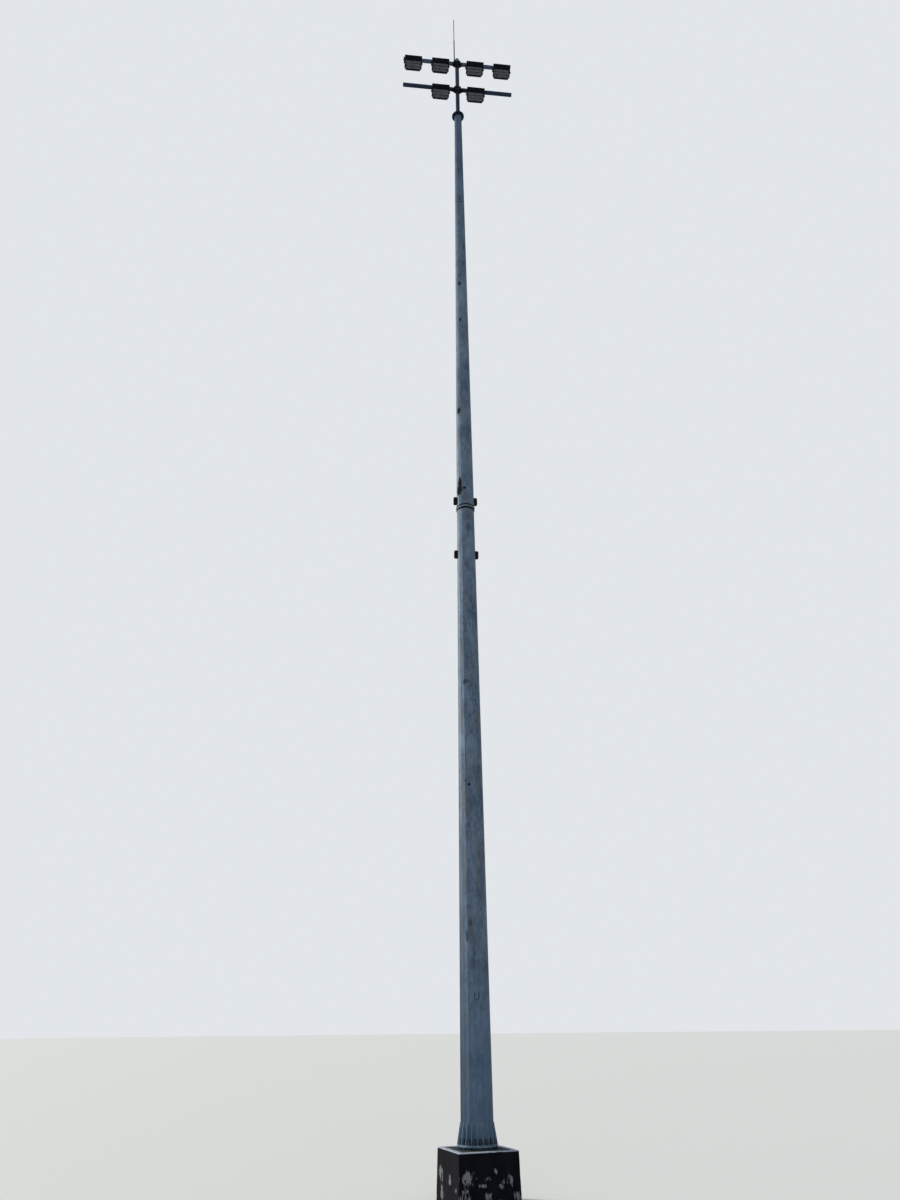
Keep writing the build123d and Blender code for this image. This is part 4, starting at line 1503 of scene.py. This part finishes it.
@dataclass
class Floodlight(TowerPart):
    """One floodlight on its yoke. The first four hang on the upper arm."""

    number: int = 1
    on_upper_arm: int = 4
    drop: float = 0.255
    lean: float = radians(18)
    aim: float = radians(50)
    half_width: float = 0.198
    front: float = 0.032
    bottom: float = -0.150
    frame_top: float = 0.062
    driver_height: float = 0.093
    driver_front: float = 0.038
    driver_depth: float = 0.076
    web_front: float = 0.006
    window_middle: float = -0.033
    window_height: float = 0.178
    strip_width: float = 0.362
    strip_height: float = 0.050
    strip_depth: float = 0.008
    strip_count: int = 3
    lens_columns: int = 12
    lens_radius: float = 0.0105
    lens_rise: float = 0.006
    lid_depth: float = 0.003
    ear_width: float = 0.028
    ear_reach: float = 0.0648
    ear_bottom: float = -0.0528
    ear_nut: float = 0.017
    ear_nut_height: float = 0.0065

    def body(self) -> str:
        """The CAD body that the lamp tilts with."""
        return f"floodlight_{self.number}"

    def hung(self, below: float) -> Point:
        """The point so far below the arm's axis, along the leaning yoke."""
        arm = self.upper_arm if self.number <= self.on_upper_arm else self.lower_arm
        return centre(f"{self.body()}_yoke")[0], -below * sin(self.lean), arm - below * cos(self.lean)

    def lamp_plane(self) -> Array:
        """Matrix at the pivot, with Z along the aim and Y up the lamp's face."""
        return plane(self.hung(self.drop), X, -cos(self.aim) * Y - sin(self.aim) * Z)

    def strips(self) -> Shape:
        """Three light strips, each a plate with two rows of lenses.

        A lens is half an ellipsoid, r = R cos(b) and z = rise sin(b).

        Returns:
            The plates and lenses.
        """
        base = self.lamp_plane()
        plate = slab(self.strip_width, self.strip_height, self.strip_depth, 0.006, 0.002)
        bow = np.linspace(0.0, pi / 2 * 0.9, 4)
        lens = np.stack([self.lens_radius * np.cos(bow), self.lens_rise * np.sin(bow)], axis=-1)
        dome = revolved([(self.lens_radius, -0.001), *lens], 10)
        xs = spaced(self.lens_columns, self.strip_width / self.lens_columns)
        ys = self.window_middle + spaced(self.strip_count, self.window_height / self.strip_count)
        rows = [y + side * self.strip_height * 0.24 for y in ys for side in (-1, 1)]
        spots = [(x, y, self.web_front + self.strip_depth) for y in rows for x in xs]
        plates = plate.repeated(places_on(base, [(0.0, y, self.web_front) for y in ys]))
        return joined([plates, dome.repeated(places_on(base, spots))])

    def trims(self) -> Shape:
        """Screws round the frame, a lid behind the driver box and the lid's screws.

        Returns:
            The screws and the lid.
        """
        base = self.lamp_plane()
        profile = [(0.0042, -0.001), (0.0042, 0.0022), (0.0034, 0.003), (0.002, 0.003), (0.002, 0.001)]
        head = revolved(profile, 10)
        side, low = self.half_width - 0.007, self.bottom + 0.012
        frame_spots = [(x, y, self.front) for x in (-side, side) for y in (-0.088, -0.03, 0.03)]
        frame_spots += [(x, low, self.front) for x in (-0.125, -0.042, 0.042, 0.125)]
        lid_spots = [(x, y, self.lid_depth) for x in (-0.172, -0.058, 0.058, 0.172) for y in (-0.028, 0.028)]
        middle = (0.0, self.frame_top + self.driver_height / 2, self.driver_front - self.driver_depth)
        back = base @ plane(middle, -X, -Z)
        lid = slab(2 * self.half_width - 0.024, self.driver_height - 0.022, self.lid_depth, 0.008, 0.001)
        rows = ((head, places_on(base, frame_spots)), (lid, back), (head, places_on(back, lid_spots)))
        return joined([shape.repeated(places) for shape, places in rows])

    def yoke_fasteners(self) -> Shape:
        """Four bolts through the clamp's ears, each with a head above and a nut below.

        Returns:
            The bolts and nuts.
        """
        base = plane(self.hung(0.0), X, sin(self.lean) * Y + cos(self.lean) * Z)
        ears = [(x, y) for x in (-self.ear_width, self.ear_width) for y in (-self.ear_reach, self.ear_reach)]
        rows = (
            (revolved([(0.005, -0.058), (0.005, 0.001)], 12), 0.0),
            (hex_nut(self.ear_nut, self.ear_nut_height, 0.005), 0.0),
            (hex_nut(self.ear_nut, self.ear_nut_height), self.ear_bottom - self.ear_nut_height),
        )
        return joined([
            shape.repeated(places_on(base, [(*ear, level) for ear in ears])) for shape, level in rows
        ])

    def build(self) -> None:
        """Make the lamp on its own body, and the yoke with its bolts on the mast."""
        name = self.body()
        casting = BlackPaint(
            "black_powder_coat", Slot.CASTING, paint=srgb(5, 9, 17), chalk=srgb(18, 24, 33),
            worn=0.12, roughness=0.47,
        )
        yoke = BlackPaint("black_paint_on_yokes", Slot.BLACK_STEEL, worn=0.35)
        lens = LampLens("moulded_lens", Slot.LENS)
        softened(f"{name}_housing", f"{name}_casting", casting, 0.0009, name)
        softened(f"{name}_driver_box", f"{name}_driver_case", casting, 0.0025, name)
        add_piece(f"{name}_light_strips", self.strips(), lens, name, [f"{name}_led_modules"], 50)
        add_piece(f"{name}_lid_and_screws", self.trims(), casting, name)
        softened(f"{name}_yoke", f"{name}_yoke_rounded", yoke, 0.0012)
        add_piece(f"{name}_yoke_bolts", self.yoke_fasteners(), GREASED, sharp=25)


@dataclass
class Studio:
    """Pale floor, soft light and the camera at the photograph's place."""

    floor_radius: float = 400.0
    floor_level: float = -0.0005
    place: Point = (-1.8364, -13.5361, 2.0334)
    yaw: float = radians(-6.521)
    pitch: float = radians(25.431)
    roll: float = radians(-0.568)
    lens: float = 27.03
    ground: Colour = srgb(214, 214, 210)
    sky: Colour = srgb(226, 230, 234)
    daylight: Colour = srgb(206, 216, 228)

    def floor(self) -> None:
        """A wide pale disc at ground level, just under the block."""
        mesh = bpy.data.meshes.new("floor")
        ring = polar(self.floor_radius, turns(96), self.floor_level)
        mesh.from_pydata(ring.tolist(), [], [list(range(len(ring)))])
        floor = bpy.data.objects.new("floor", mesh)
        bpy.context.scene.collection.objects.link(floor)
        material = bpy.data.materials.new("studio_floor")
        graph = NodeGraph(material)
        shader = graph.node("ShaderNodeBsdfPrincipled", None, {"Base Color": self.ground, "Roughness": 0.9})
        graph.node("ShaderNodeOutputMaterial", None, {"Surface": shader})
        mesh.materials.append(material)

    def world(self) -> None:
        """Plain sky: pale where it is seen or reflected, and softer where it only gives light."""
        world = bpy.data.worlds.new("studio_sky")
        graph = NodeGraph(world)
        seen = graph.node("ShaderNodeLightPath", None, None, "Is Camera Ray")
        shown = seen.largest(seen.other("Is Glossy Ray")).largest(seen.other("Is Transmission Ray"))
        light = graph.node("ShaderNodeBackground", None, {"Color": self.daylight, "Strength": 0.62})
        backdrop = graph.node("ShaderNodeBackground", None, {"Color": self.sky, "Strength": 1.0})
        mixed = graph.node("ShaderNodeMixShader", None, {0: shown, 1: light, 2: backdrop})
        graph.node("ShaderNodeOutputWorld", None, {"Surface": mixed})
        bpy.context.scene.world = world

    def sun(self, name: str, towards: Point, strength: float, spread: float, colour: Colour) -> None:
        """A soft light from far away.

        Args:
            name: its name.
            towards: the direction that it shines in.
            strength: its strength.
            spread: its width in the sky, in degrees.
            colour: its colour.
        """
        lamp = bpy.data.lights.new(name, "SUN")
        lamp.energy = strength
        lamp.angle = radians(spread)
        lamp.color = colour
        made = bpy.data.objects.new(name, lamp)
        made.rotation_euler = Vector(towards).to_track_quat("-Z", "Y").to_euler()
        bpy.context.scene.collection.objects.link(made)

    def camera(self) -> None:
        """Camera with forward (-sin yaw cos pitch, cos yaw cos pitch, sin pitch), rolled about it."""
        forward = Vector((-sin(self.yaw) * cos(self.pitch), cos(self.yaw) * cos(self.pitch), sin(self.pitch)))
        level_right = Vector((cos(self.yaw), sin(self.yaw), 0.0))
        level_up = level_right.cross(forward)
        right = cos(self.roll) * level_right + sin(self.roll) * level_up
        up = -sin(self.roll) * level_right + cos(self.roll) * level_up
        data = bpy.data.cameras.new("photograph_view")
        data.lens = self.lens
        data.sensor_width = 36.0
        data.clip_end = 2000.0
        camera = bpy.data.objects.new("photograph_view", data)
        turn = Matrix((right, up, -forward)).transposed()
        camera.matrix_world = Matrix.Translation(self.place) @ turn.to_4x4()
        bpy.context.scene.collection.objects.link(camera)
        bpy.context.scene.camera = camera

    def build(self) -> None:
        """Make the floor, the light and the camera."""
        self.floor()
        self.world()
        self.sun("key_light", (0.86, -0.36, -0.40), 4.0, 10, srgb(255, 249, 238))
        self.sun("fill_light", (0.15, 0.9, -0.45), 0.65, 50, srgb(232, 241, 255))
        self.camera()
        bpy.context.scene.view_settings.view_transform = "Standard"
        log.info("studio: floor, sky, two soft lights and the camera")


def main() -> None:
    """Build every sub-assembly, then the studio."""
    logging.basicConfig(level=logging.INFO, format="%(name)s %(message)s")
    for assembly in (Foundation(), BaseAssembly(), Mast(), SlipJoint(), Headframe()):
        assembly.build()
    for number in range(1, 7):
        Floodlight(number=number).build()
    Studio().build()


if __name__ == "__main__":
    main()
